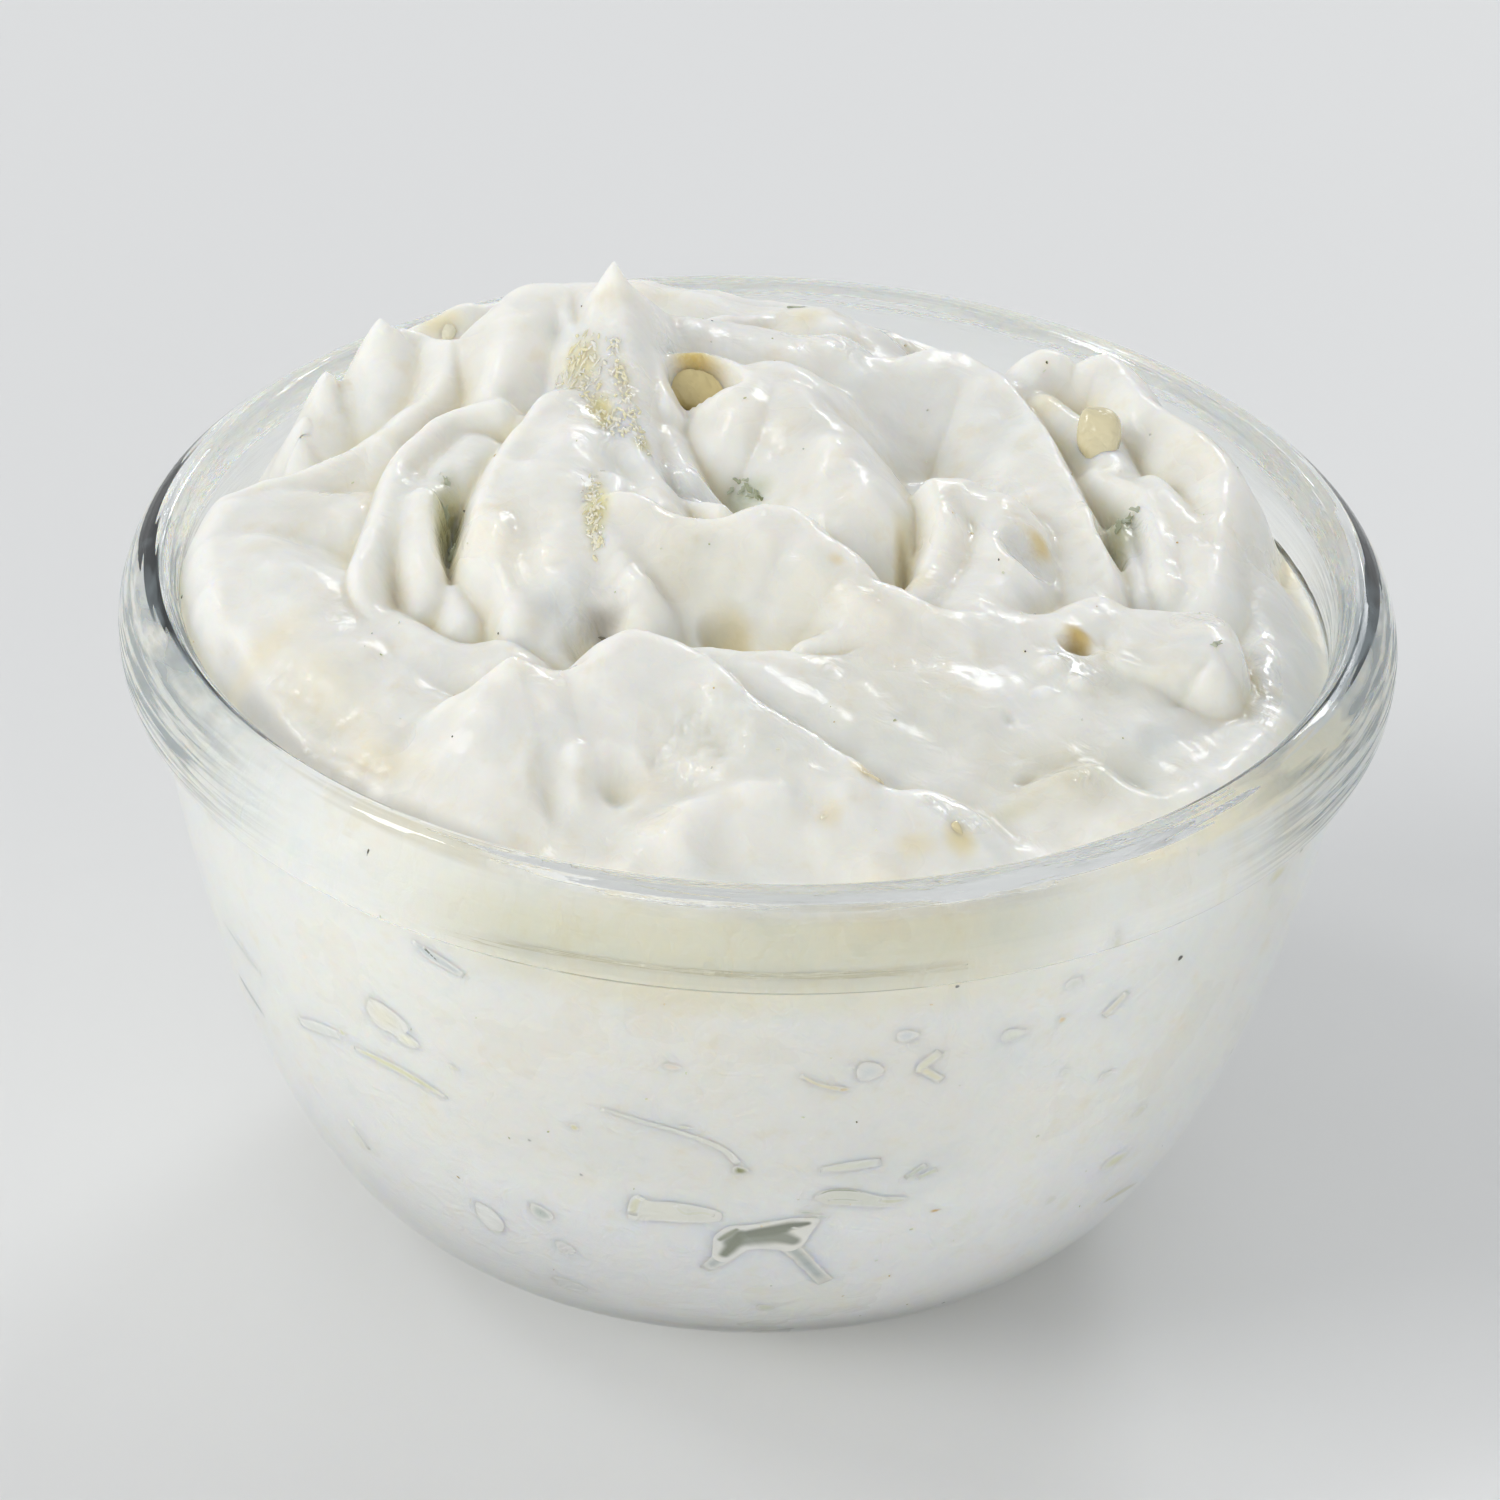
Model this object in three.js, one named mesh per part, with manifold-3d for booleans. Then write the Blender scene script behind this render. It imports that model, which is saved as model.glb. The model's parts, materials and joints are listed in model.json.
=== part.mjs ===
// A clear glass bowl with a thick rolled rim, heaped with tzatziki dip.
// Millimetres, +Z up. The origin is at the centre of the foot ring, on the table.
// Two pieces: the bowl, a turned glass solid, and the dip, one solid from the glass
// floor up to a spooned heap of folds, with its larger bits of cucumber and dill on it.
import * as THREE from 'three';
import { mergeVertices } from 'three/addons/utils/BufferGeometryUtils.js';
import Module from 'manifold-3d';

const wasm = await Module();
wasm.setup();

// ---- Driving dimensions --------------------------------------------------------

const RIM_RADIUS = 54;          // to the outside of the rolled rim
const BOWL_HEIGHT = 57.4;
const RIM_HALF_HEIGHT = 5.3;
const RIM_OUTER_HALF_WIDTH = 3.3;
const RIM_INNER_HALF_WIDTH = 2.3;
const FOOT_RADIUS = 28.2;
const FOOT_RING_WIDTH = 6.4;
const FOOT_RECESS = 0.7;        // hollow under the glass floor, inside the foot ring
const FLOOR_TOP = 4.5;          // upper face of the glass floor
const FLOOR_RADIUS = 24;
const CLEARANCE = 0.3;          // between the glass and the dip
const BOWL_SIDES = 60;

const TOP_CELLS = 56;           // cells along one side of the dip's surface grid
const SIDE_ROWS = 7;            // rows of points down the dip's glass side
const SPLINE_STEPS = 3;         // straight pieces between two points of a crest
const FALL = 6;                 // a fold has dropped this far at its stated width
const VALLEY_ROUNDING = 0.4;    // radius-like size of the creases between folds
const MENISCUS = 2.6;           // width over which the dip turns down into the glass

const CREST_CENTRE = {
  radius: RIM_RADIUS - RIM_OUTER_HALF_WIDTH,
  height: BOWL_HEIGHT - RIM_HALF_HEIGHT,
};

// Control points, radius and height, of the wall's outer and inner curve.
const OUTER_WALL = [[FOOT_RADIUS, 0], [40.8, 2.1], [47.4, 28.3], [51.3, 48.2]];
const INNER_WALL = [[FLOOR_RADIUS, FLOOR_TOP], [38.5, 4.7], [44.8, 28.5], [48.2, 47.5]];

// Height of the dip where it meets the glass, by direction in degrees from +X.
const CONTACT_HEIGHTS = [
  [0, 49.5], [20, 50], [40, 50.5], [60, 51.5], [75, 54], [110, 54.5], [130, 50.5],
  [168, 50.5], [182, 55], [215, 54.5], [270, 53.5], [300, 53], [330, 52],
  [345, 51], [360, 49.5],
];
const CENTRE_HEIGHT = 58.5;     // of the plain mound under the folds

// Folds that the spoon left. A crest runs through its points x, y, height. near is
// the width on its right, going along it, and far the one on its left. A power of 1
// makes a sharp crest, 2 a round one, and more a flat top with a steep edge. lean
// carries the top of the fold sideways.
const FOLDS = [
  // Scalloped rim of the swirl at the back left, and the pleats that hang from it
  { crest: [[-38.5, 14, 60.5], [-37.5, 16, 61.2], [-36.8, 17.5, 64], [-35.3, 18, 62.2],
    [-33.7, 19, 65.6], [-32.4, 20.5, 68], [-31, 21, 67.2], [-28.5, 21.5, 66.6],
    [-27, 19.5, 67], [-24, 20, 67.5]],
    near: 6, far: 4, powers: [1.5, 1.3], lean: [-1.2, 0.4] },
  { crest: [[-33.2, 20.6, 68.8], [-32.4, 20.6, 68.2]],
    near: 3, far: 2.6, powers: [1.3, 1.3] },
  { crest: [[-37.6, 17.6, 64.7], [-37, 17.6, 64.1]],
    near: 2.8, far: 2.6, powers: [1.4, 1.4] },
  { crest: [[-39.2, 15, 61.9], [-38.6, 15.2, 61.5]],
    near: 3.2, far: 2.8, powers: [1.5, 1.5] },
  { crest: [[-32.4, 20.5, 68], [-33, 21, 65], [-34, 20, 62]],
    near: 3, far: 3, powers: [1.6, 1.6] },
  { crest: [[-36.8, 17.5, 64], [-37.3, 17, 61.5], [-38, 16.5, 59]],
    near: 3, far: 3, powers: [1.6, 1.6] },
  { crest: [[-27, 19, 67.3], [-27.5, 15.5, 66], [-30, 12, 64.4], [-32.5, 10, 63.2]],
    near: 5, far: 3.5, powers: [1.6, 1.5] },
  { crest: [[-32.5, 10, 63.2], [-36.5, 8, 61.8], [-40, 6.5, 60.8], [-45, 4.5, 59.8]],
    near: 4, far: 8, powers: [1.6, 1.4] },
  { crest: [[-44, 0.5, 60.7], [-39.5, 1.2, 61.3], [-35, 1, 61.5]],
    near: 8, far: 8, powers: [2.2, 2.2] },
  { crest: [[-30.5, 31, 62], [-27.5, 33, 62.7], [-23.5, 35.5, 62.7]],
    near: 5, far: 4, powers: [1.6, 1.6] },
  // Crown and the pulled-up peak
  { crest: [[-23, 20, 68.7], [-21.5, 22.5, 69.7], [-19, 25, 70], [-13.5, 24.5, 70.5]],
    near: 8, far: 6, powers: [1.8, 1.8] },
  { crest: [[-22.5, 20.5, 69.3], [-22.5, 16.5, 68.2], [-23, 13, 66.5]],
    near: 4, far: 5, powers: [1.8, 1.6] },
  { crest: [[-13.5, 22, 74.3], [-13, 21.5, 72.8]], near: 3, far: 3, powers: [1.15, 1.15] },
  { crest: [[-13, 22, 72], [-12.5, 17, 70.3], [-12, 11.5, 68.2], [-11.3, 6, 66.6],
    [-10, 0.5, 65.8], [-8.5, -4, 65.8]],
    near: 7, far: 5, powers: [1.6, 1.6] },
  { crest: [[-11.5, 21, 70.3], [-10, 17.5, 68.3], [-8.5, 12, 66.4]],
    near: 5, far: 3.5, powers: [1.6, 1.3] },
  { crest: [[-9.8, 16.8, 67.8], [-8.5, 18.4, 67.5], [-6, 19, 67.3], [-3.5, 18.6, 67.1],
    [-1.8, 16.5, 67.1]],
    near: 2, far: 3.4, powers: [1.3, 1.6] },
  { crest: [[-9, 24.5, 67], [-3, 25.5, 65.8], [4, 26, 64.6]],
    near: 8, far: 9, powers: [2, 2] },
  { crest: [[-8.5, 9, 65], [-6.5, 3, 64.3], [-3.5, -1.5, 64.3]],
    near: 4, far: 4, powers: [2, 2] },
  // Curled finger that runs down the left of the heap, and a smaller one beside it
  { crest: [[-22, 11, 66.9], [-26, 10.5, 65.6], [-28.5, 7.5, 65], [-30, 4, 64.4],
    [-31, -1.5, 63.6], [-32, -8, 63], [-32.5, -13, 62], [-31.5, -15, 60.5]],
    near: 3.4, far: 2.8, powers: [1.8, 1.8], lean: [-0.8, 0] },
  { crest: [[-28, -2, 64.5], [-28.2, -5, 63.8], [-27.8, -8, 62.6], [-27.2, -10.5, 61]],
    near: 4.4, far: 2.4, powers: [2.4, 2.6] },
  { crest: [[-24, 8, 64.6], [-26, 4.5, 64], [-28, 1, 63.2], [-30, -4, 62.4]],
    near: 5, far: 4, powers: [2.8, 2.6] },
  { crest: [[-25.5, -11, 60.8], [-24.5, -14, 60.4]], near: 3.4, far: 3.4, powers: [2, 2] },
  // Wide lobe at the left, with a tip that reaches the rim
  { crest: [[-46, -4.5, 60.3], [-43, -5, 61.2], [-39.5, -8, 61.8], [-36.5, -12.5, 61.5],
    [-34, -17, 60.9], [-30.5, -21, 60], [-27.5, -25, 59.2], [-25, -26, 58.8]],
    near: 15, far: 12, powers: [1.5, 1.3] },
  { crest: [[-31, -16, 60.3], [-26, -20, 60.3], [-21, -21, 60.8]],
    near: 7, far: 7, powers: [2, 2] },
  { crest: [[-48, -11.5, 57.8], [-45.5, -11, 59.8], [-41, -10, 61.2]],
    near: 7, far: 7, powers: [1.5, 1.5], lean: [-0.8, 0] },
  // Middle of the heap
  { crest: [[-19, 10, 67.5], [-22.5, 1, 66.3], [-23.5, -6, 65.5], [-21, -13.5, 62]],
    near: 3, far: 12, powers: [1.5, 1.9] },
  { crest: [[-17, 4.5, 67.5], [-17, -2.5, 66.8], [-15.5, -8.5, 65.5]],
    near: 8, far: 8, powers: [2, 2] },
  { crest: [[-12.5, -1, 66.2], [-13.3, -4, 66.3], [-13.5, -7.5, 66], [-9.5, -14, 63]],
    near: 5, far: 5, powers: [1.9, 1.7] },
  { crest: [[-12, -5, 66.9], [-9.5, -5.5, 66.6], [-5, -7, 65.9], [-1.5, -6.5, 66.2],
    [0, -5.5, 67.1]],
    near: 8, far: 3.5, powers: [2, 1.2] },
  { crest: [[0, -5.5, 67.1], [3, -6, 66.5], [4.5, -8, 65.9], [7.5, -9.5, 65],
    [8.5, -11.5, 64.3], [11, -12, 63.5], [14, -13, 62.3], [17, -12.5, 61.5]],
    near: 8, far: 4, powers: [2, 1.2] },
  { crest: [[-2.5, 14, 67.3], [0.5, 17.5, 67.5], [2.5, 13, 67], [6, 7, 66.3], [8, 2, 65.3]],
    near: 9, far: 6.5, powers: [2, 1.6] },
  // Front lump, from its left flank to its tail at the front right, and its toe
  { crest: [[-26.5, -31, 59], [-25, -29.5, 60.8], [-20, -27, 63.2]],
    near: 7, far: 5, powers: [1.5, 1.3] },
  { crest: [[-20, -27, 63.4], [-20.3, -29, 61.5], [-21, -31.5, 59], [-22.3, -35.5, 56.6],
    [-22.5, -39, 55]],
    near: 5, far: 4, powers: [1.4, 1.25] },
  { crest: [[-20, -27, 63.4], [-16, -26, 62.4], [-13, -25, 63.2], [-10.5, -22.5, 64.2],
    [-6.5, -23, 63.9], [-4, -24.5, 63.3], [-1.5, -27.5, 62.4], [3, -30.5, 61],
    [8, -33.5, 59.4], [11, -36, 58.3], [14.5, -35.5, 57.6], [17.5, -36.5, 56.7],
    [19, -38.5, 55.5]],
    near: 12, far: 3, powers: [1.7, 1.2] },
  { crest: [[-9, -43.5, 55.6], [-6, -41, 57.9], [-2.5, -38.5, 58.6], [2, -37.5, 58.8]],
    near: 6, far: 7, powers: [1.6, 1.6] },
  // Smooth spooned slope at the right, with low lumps on it
  { crest: [[-3.5, -20.5, 62], [6, -19.5, 60.9], [13.5, -15, 60.7], [25, -13, 59.3]],
    near: 20, far: 3.5, powers: [1.35, 1.2] },
  { crest: [[4, -17.5, 61.2], [7, -16.3, 61.7], [11, -15.3, 61.3]],
    near: 4, far: 3, powers: [2, 1.8] },
  { crest: [[21, -33, 55], [23, -31.5, 56], [25.5, -30.3, 56.5], [28.5, -29.3, 56.4],
    [31, -30.5, 55.4]],
    near: 8, far: 4.5, powers: [2, 1.9] },
  { crest: [[14, 4, 63.9], [15, -1.5, 63.2], [12.5, -11, 61.4]],
    near: 3.2, far: 5, powers: [1.6, 1.9] },
  { crest: [[16.5, 5, 63.5], [19.5, 3.5, 63], [20, -2, 62.2], [17.5, -10.5, 61.2]],
    near: 7, far: 6, powers: [2, 2] },
  { crest: [[19, -11.5, 60.8], [24, -11.5, 60.8], [28.5, -8, 60.3]],
    near: 6, far: 6, powers: [1.9, 1.9] },
  // Upper plateau, whose edge turns and runs down to the right
  { crest: [[4.5, 24.5, 63], [11.5, 28.5, 62.5], [16.5, 30, 62.3], [21, 25.5, 61.7],
    [26, 12, 61], [29.5, -0.5, 59], [30, -3, 58]],
    near: 12, far: 3.2, powers: [1.8, 1.1] },
  // Lobes and the block at the right
  { crest: [[24, 25.5, 60.6], [28, 22, 59.6], [29.5, 16.5, 59.6]],
    near: 4.5, far: 5, powers: [1.9, 1.9] },
  { crest: [[21.5, 28.5, 59.8], [23.5, 32, 61.7], [26, 31, 60], [29.5, 32, 61.4],
    [32, 27, 60.4], [35.5, 22.5, 60.2], [38.5, 18, 60], [39, 11.5, 59.2],
    [38.5, 5.5, 58.4], [38, -0.5, 58]],
    near: 6, far: 4.5, powers: [1.7, 1.8] },
  { crest: [[28.5, 15.5, 59.6], [32, 12.5, 59.4], [33.3, 7.5, 58.9], [34, 0.5, 58.1]],
    near: 3.6, far: 5, powers: [1.6, 1.9] },
  { crest: [[33, 15, 59.3], [36, 8, 58.7], [37, 1, 58]],
    near: 4, far: 4, powers: [2.2, 2.2] },
  { crest: [[30.5, 9, 57.9], [31.5, 4, 57.3], [32, -1, 57]],
    near: 3, far: 3, powers: [2, 2] },
  { crest: [[40, 8, 56.2], [42, 0, 54.9], [43, -10, 54]],
    near: 6, far: 6, powers: [1.9, 1.7] },
  { crest: [[31.6, -8.6, 59.7], [37, -9, 59.6]],
    near: 4.2, far: 4.2, powers: [3.4, 3.4], lean: [0, -1] },
  { crest: [[31.4, -11.2, 59.5], [37.2, -11.4, 59.3]],
    near: 4.4, far: 4.4, powers: [3.6, 3.6], lean: [0, -1] },
  { crest: [[31, -14, 59.1], [36.8, -14, 58.8]],
    near: 4, far: 4, powers: [3.4, 3.4], lean: [0, -1] },
  { crest: [[28, -34, 55.2], [35.5, -29, 55], [40, -22.5, 54.8], [42.5, -14.5, 54.4]],
    near: 6, far: 9, powers: [2.1, 1.8] },
  // Back of the heap
  { crest: [[-10.5, 40.5, 61.8], [-1, 37.5, 61.5], [5, 35.5, 62.2], [8.5, 32, 61.2]],
    near: 12, far: 8, powers: [1.6, 1.7] },
  { crest: [[-30, 34, 59.5], [-14, 42, 60.5], [4, 41, 60], [16, 37, 57.6], [30, 29, 55.7]],
    near: 4, far: 3.8, powers: [1.7, 1.6] },
  { crest: [[16, 42.5, 54.2], [20, 40.5, 54], [24, 38, 54]],
    near: 3, far: 5, powers: [2, 2] },
  { crest: [[-20, 31, 64], [-16, 37, 62.5], [-17, 43, 60]],
    near: 3.5, far: 3.5, powers: [1.6, 1.6] },
  { crest: [[-5, 31, 64], [0, 37, 61.5], [3, 43, 59]],
    near: 4, far: 4, powers: [1.6, 1.6] },
];

// Hollows between the folds: place, half sizes, turn in degrees, depth, and how much
// of the radius the slope takes. One with a depth below 0 is a low bump.
const HOLLOWS = [
  { at: [-5.4, 16.1], size: [3.5, 2.5], turn: -18, depth: 6.5, slope: 0.5 },
  { at: [-5, 1], size: [6.5, 1.9], turn: -28, depth: 1.4, slope: 0.9 },
  { at: [-1.5, -1], size: [2.2, 1.5], turn: -20, depth: 2.5, slope: 0.7 },
  { at: [-26, -3.8], size: [1.9, 5.5], turn: 0, depth: 1.2, slope: 0.9 },
  { at: [-16.4, 21.5], size: [1.2, 3.2], turn: 10, depth: 1.1, slope: 1 },
  { at: [-13, -17.5], size: [4.5, 2.4], turn: -5, depth: 2, slope: 0.9 },
  { at: [-12.8, -18], size: [1.4, 0.9], turn: 0, depth: 2.4, slope: 0.7 },
  { at: [-2.5, -15.5], size: [3.2, 1.6], turn: -25, depth: 2.5, slope: 0.7 },
  { at: [12, -4], size: [1, 4.2], turn: 8, depth: 1.6, slope: 0.9 },
  { at: [22.5, -1.5], size: [3.2, 3.4], turn: 0, depth: 1.4, slope: 0.9 },
  { at: [29.5, 5.5], size: [1.8, 3.5], turn: 10, depth: 2.5, slope: 0.8 },
  { at: [-5, -32], size: [5, 4.5], turn: 0, depth: 0.6, slope: 0.8 },
  { at: [-10.8, -35.8], size: [2.6, 3], turn: 20, depth: 1.5, slope: 0.9 },
  { at: [-16.5, -37], size: [2.4, 3.6], turn: 15, depth: 1, slope: 0.9 },
  { at: [-43.5, -19], size: [5.5, 1.1], turn: -66, depth: 0.6, slope: 0.9 },
  { at: [-36, -27], size: [9, 2.6], turn: -40, depth: 0.7, slope: 0.9 },
  { at: [-33, -32], size: [5, 0.9], turn: -38, depth: 0.35, slope: 0.9 },
  { at: [26.5, -13.5], size: [2, 1.2], turn: -20, depth: 2, slope: 0.7 },
  { at: [36, -16], size: [0.8, 3.6], turn: -35, depth: 0.5, slope: 0.8 },
  { at: [24.5, -16.5], size: [1.9, 1.3], turn: 30, depth: -0.6, slope: 1 },
  { at: [26.8, -18.6], size: [1.7, 1.2], turn: -20, depth: -0.6, slope: 1 },
  { at: [23.8, -20], size: [1.5, 1.1], turn: 10, depth: -0.5, slope: 1 },
  { at: [21, -23.5], size: [0.9, 1.1], turn: 0, depth: 0.4, slope: 0.9 },
  { at: [22.5, -30], size: [1.6, 0.8], turn: 30, depth: 0.5, slope: 0.9 },
  { at: [-14.3, -34.6], size: [1.7, 1.9], turn: 0, depth: -0.8, slope: 0.95 },
  { at: [5.5, 5], size: [2.6, 3.2], turn: 0, depth: -0.5, slope: 1 },
  { at: [-20.5, -0.5], size: [2.2, 2.6], turn: 0, depth: -0.5, slope: 1 },
  { at: [-22, -8], size: [1.6, 3], turn: 0, depth: -0.4, slope: 1 },
  { at: [-16.5, -13.5], size: [2.4, 1.6], turn: 0, depth: -0.6, slope: 1 },
  { at: [-10, -13.5], size: [2.4, 1.8], turn: 0, depth: -0.5, slope: 1 },
  { at: [13.5, 27], size: [2, 2], turn: 0, depth: -0.4, slope: 1 },
  { at: [18, 25], size: [1.6, 2.4], turn: 0, depth: -0.3, slope: 1 },
  { at: [5.5, 34], size: [2.6, 2.2], turn: 0, depth: -0.6, slope: 1 },
];

// Bits that lie half in the surface: place, length, width and thickness, turn in
// degrees, and how far their middle is above the surface.
const CUCUMBER_BITS = [
  { at: [28.4, 21], size: [3.8, 5, 2.8], turn: 12, lift: -0.4 },
  { at: [-14.5, 12.5], size: [2.4, 6.5, 1.6], turn: -8, lift: -0.5 },
  { at: [-11, 7.5], size: [1.5, 5, 1.4], turn: -14, lift: -0.4 },
  { at: [-13.7, -7.5], size: [1.5, 6, 1.3], turn: 2, lift: -0.4 },
  { at: [17, -40.2], size: [1.6, 2.6, 1.4], turn: 20, lift: -0.2 },
  { at: [9.2, -35.4], size: [2.8, 1.2, 1.2], turn: -35, lift: -0.1 },
  { at: [-28.5, 32], size: [3, 2, 1.8], turn: 10, lift: 0 },
];

// ---- Small helpers ---------------------------------------------------------------

const clamp = (value, low, high) => Math.min(high, Math.max(low, value));
const radians = (degrees) => degrees * Math.PI / 180;

function bezier(points, t) {
  const s = 1 - t;
  const weights = [s * s * s, 3 * s * s * t, 3 * s * t * t, t * t * t];
  return [0, 1].map((axis) => points.reduce((sum, p, i) => sum + weights[i] * p[axis], 0));
}

// Value at x of a line through sorted [x, value] pairs.
function interpolate(pairs, x) {
  const i = clamp(pairs.findIndex((pair) => pair[0] >= x), 1, pairs.length - 1);
  const [x0, v0] = pairs[i - 1];
  const [x1, v1] = pairs[i];
  return v0 + (v1 - v0) * (x - x0) / (x1 - x0);
}

// ---- Bowl ------------------------------------------------------------------------

function rimArc(fromDegrees, toDegrees, steps) {
  const points = [];
  for (let i = 0; i <= steps; i++) {
    const angle = radians(fromDegrees + (toDegrees - fromDegrees) * i / steps);
    const halfWidth = Math.cos(angle) > 0 ? RIM_OUTER_HALF_WIDTH : RIM_INNER_HALF_WIDTH;
    points.push([
      CREST_CENTRE.radius + halfWidth * Math.cos(angle),
      CREST_CENTRE.height + RIM_HALF_HEIGHT * Math.sin(angle),
    ]);
  }
  return points;
}

function bowlGeometry() {
  const wallSteps = 7;
  const outer = [];
  const inner = [];
  for (let i = 0; i <= wallSteps; i++) {
    outer.push(bezier(OUTER_WALL, i / wallSteps));
    inner.unshift(bezier(INNER_WALL, i / wallSteps));
  }
  const ringInside = FOOT_RADIUS - FOOT_RING_WIDTH;
  const profile = [
    [0, FOOT_RECESS], [ringInside - FOOT_RECESS, FOOT_RECESS], [ringInside, 0],
    ...outer, ...rimArc(-48, 180, 8), ...inner, [0, FLOOR_TOP],
  ];
  const turned = new THREE.LatheGeometry(
    profile.map(([r, z]) => new THREE.Vector2(r, z)), BOWL_SIDES);
  turned.rotateX(Math.PI / 2);
  return joined(turned);
}

// Point of the dip's glass side, which lies the clearance off the inner wall. share
// runs from 0 at the floor to 1 at the top of the wall, under the rim.
function besideWall(share) {
  const step = 1e-4;
  const [r0, z0] = bezier(INNER_WALL, share - step);
  const [r1, z1] = bezier(INNER_WALL, share + step);
  const length = Math.hypot(r1 - r0, z1 - z0);
  const [r, z] = bezier(INNER_WALL, share);
  return [r - CLEARANCE * (z1 - z0) / length, z + CLEARANCE * (r1 - r0) / length];
}

// The same at and above the rim: the dip keeps off the narrowest place, at mid rim,
// and can lean out a little where the rim's inside rounds away.
const BESIDE_RIM = [
  [INNER_WALL[3][1], besideWall(1)[0]],
  [CREST_CENTRE.height, CREST_CENTRE.radius - RIM_INNER_HALF_WIDTH - CLEARANCE],
  [CREST_CENTRE.height + 1.4, CREST_CENTRE.radius - RIM_INNER_HALF_WIDTH - CLEARANCE],
  [BOWL_HEIGHT, CREST_CENTRE.radius - RIM_INNER_HALF_WIDTH + 0.7],
];

// Greatest radius of the dip at a height.
function insideRadius(height) {
  if (height >= BESIDE_RIM[0][0]) return interpolate(BESIDE_RIM, Math.min(height, BOWL_HEIGHT));
  let low = 0;
  let high = 1;
  for (let i = 0; i < 30; i++) {
    const middle = (low + high) / 2;
    if (besideWall(middle)[1] < height) low = middle;
    else high = middle;
  }
  return besideWall(low)[0];
}

// ---- Dip: its surface as a function ------------------------------------------------

// The crest as short straight pieces of a smooth curve through its points.
function crestPieces(crest) {
  const curve = new THREE.CatmullRomCurve3(
    crest.map((p) => new THREE.Vector3(...p)), false, 'centripetal');
  const points = curve.getPoints((crest.length - 1) * SPLINE_STEPS);
  return points.slice(1).map((end, i) => ({ start: points[i], end }));
}

const folds = FOLDS.map((fold) => ({ ...fold, pieces: crestPieces(fold.crest) }));

// Height of one fold over the point x, y, and how far from its crest that is,
// where 1 is its stated width.
function foldAt(fold, x, y) {
  let best = { height: -Infinity, away: Infinity };
  for (const { start, end } of fold.pieces) {
    const dx = end.x - start.x;
    const dy = end.y - start.y;
    const length2 = dx * dx + dy * dy;
    const t = clamp(((x - start.x) * dx + (y - start.y) * dy) / length2, 0, 1);
    const ex = x - start.x - t * dx;
    const ey = y - start.y - t * dy;
    const distance = Math.hypot(ex, ey);
    const side = (ex * dy - ey * dx) / (Math.sqrt(length2) * (distance + 1e-9));
    const nearShare = 0.5 + 0.5 * clamp(1.5 * side, -1, 1);
    const width = fold.far + (fold.near - fold.far) * nearShare;
    const power = fold.powers[1] + (fold.powers[0] - fold.powers[1]) * nearShare;
    const away = distance / width;
    const height = start.z + t * (end.z - start.z) - FALL * away ** power;
    if (height > best.height) best = { height, away };
  }
  return best;
}

function hollowDepth(hollow, x, y) {
  const angle = radians(hollow.turn);
  const dx = x - hollow.at[0];
  const dy = y - hollow.at[1];
  const u = (dx * Math.cos(angle) + dy * Math.sin(angle)) / hollow.size[0];
  const v = (dy * Math.cos(angle) - dx * Math.sin(angle)) / hollow.size[1];
  return hollow.depth * THREE.MathUtils.smoothstep(1 - Math.hypot(u, v), 0, hollow.slope);
}

// Slow unevenness that no spoon mark explains.
function unevenness(x, y) {
  return 0.1 * Math.sin(0.83 * x + 0.31 * y + 1.2 * Math.sin(0.42 * y))
    + 0.1 * Math.sin(0.52 * y - 0.66 * x + 2.1 + 1.1 * Math.sin(0.5 * x))
    + 0.06 * Math.sin(1.3 * y + 0.9 * x + 0.7);
}

function contactHeight(x, y) {
  const direction = (THREE.MathUtils.radToDeg(Math.atan2(y, x)) + 360) % 360;
  return interpolate(CONTACT_HEIGHTS, direction);
}

function surfacePoint(x, y) {
  const edge = contactHeight(x, y);
  const wallRadius = insideRadius(edge);
  const radius = Math.hypot(x, y);
  const mound = edge + (CENTRE_HEIGHT - edge) * Math.max(0, 1 - (radius / wallRadius) ** 2);
  const found = folds.map((fold) => foldAt(fold, x, y));
  const highest = Math.max(mound, ...found.map((f) => f.height));
  const weights = found.map((f) => Math.exp((f.height - highest) / VALLEY_ROUNDING));
  const total = weights.reduce((sum, w) => sum + w, 0)
    + Math.exp((mound - highest) / VALLEY_ROUNDING);
  let height = highest + VALLEY_ROUNDING * Math.log(total) + unevenness(x, y);
  let px = x;
  let py = y;
  folds.forEach((fold, i) => {
    if (!fold.lean) return;
    const share = THREE.MathUtils.smoothstep(1 - found[i].away, 0, 1) * weights[i] / total;
    px += fold.lean[0] * share;
    py += fold.lean[1] * share;
  });
  for (const hollow of HOLLOWS) height -= hollowDepth(hollow, x, y);
  const inward = clamp((wallRadius - radius) / MENISCUS, 0, 1);
  height = edge + (height - edge) * Math.sqrt(inward * (2 - inward));
  const limit = insideRadius(height) / Math.max(Math.hypot(px, py), 1e-9);
  const pull = Math.min(1, limit);
  return [px * pull, py * pull, height];
}

// ---- Dip: its solid ----------------------------------------------------------------

// A square grid spread over a disc, so that all its faces are much alike.
function discPoint(u, v) {
  const reach = Math.max(Math.abs(u), Math.abs(v));
  if (reach === 0) return { radius: 0, angle: 0 };
  const angle = Math.abs(u) > Math.abs(v)
    ? (u > 0 ? 0 : Math.PI) + Math.PI / 4 * (v / u)
    : (v > 0 ? Math.PI / 2 : -Math.PI / 2) - Math.PI / 4 * (u / v);
  return { radius: reach, angle };
}

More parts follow.
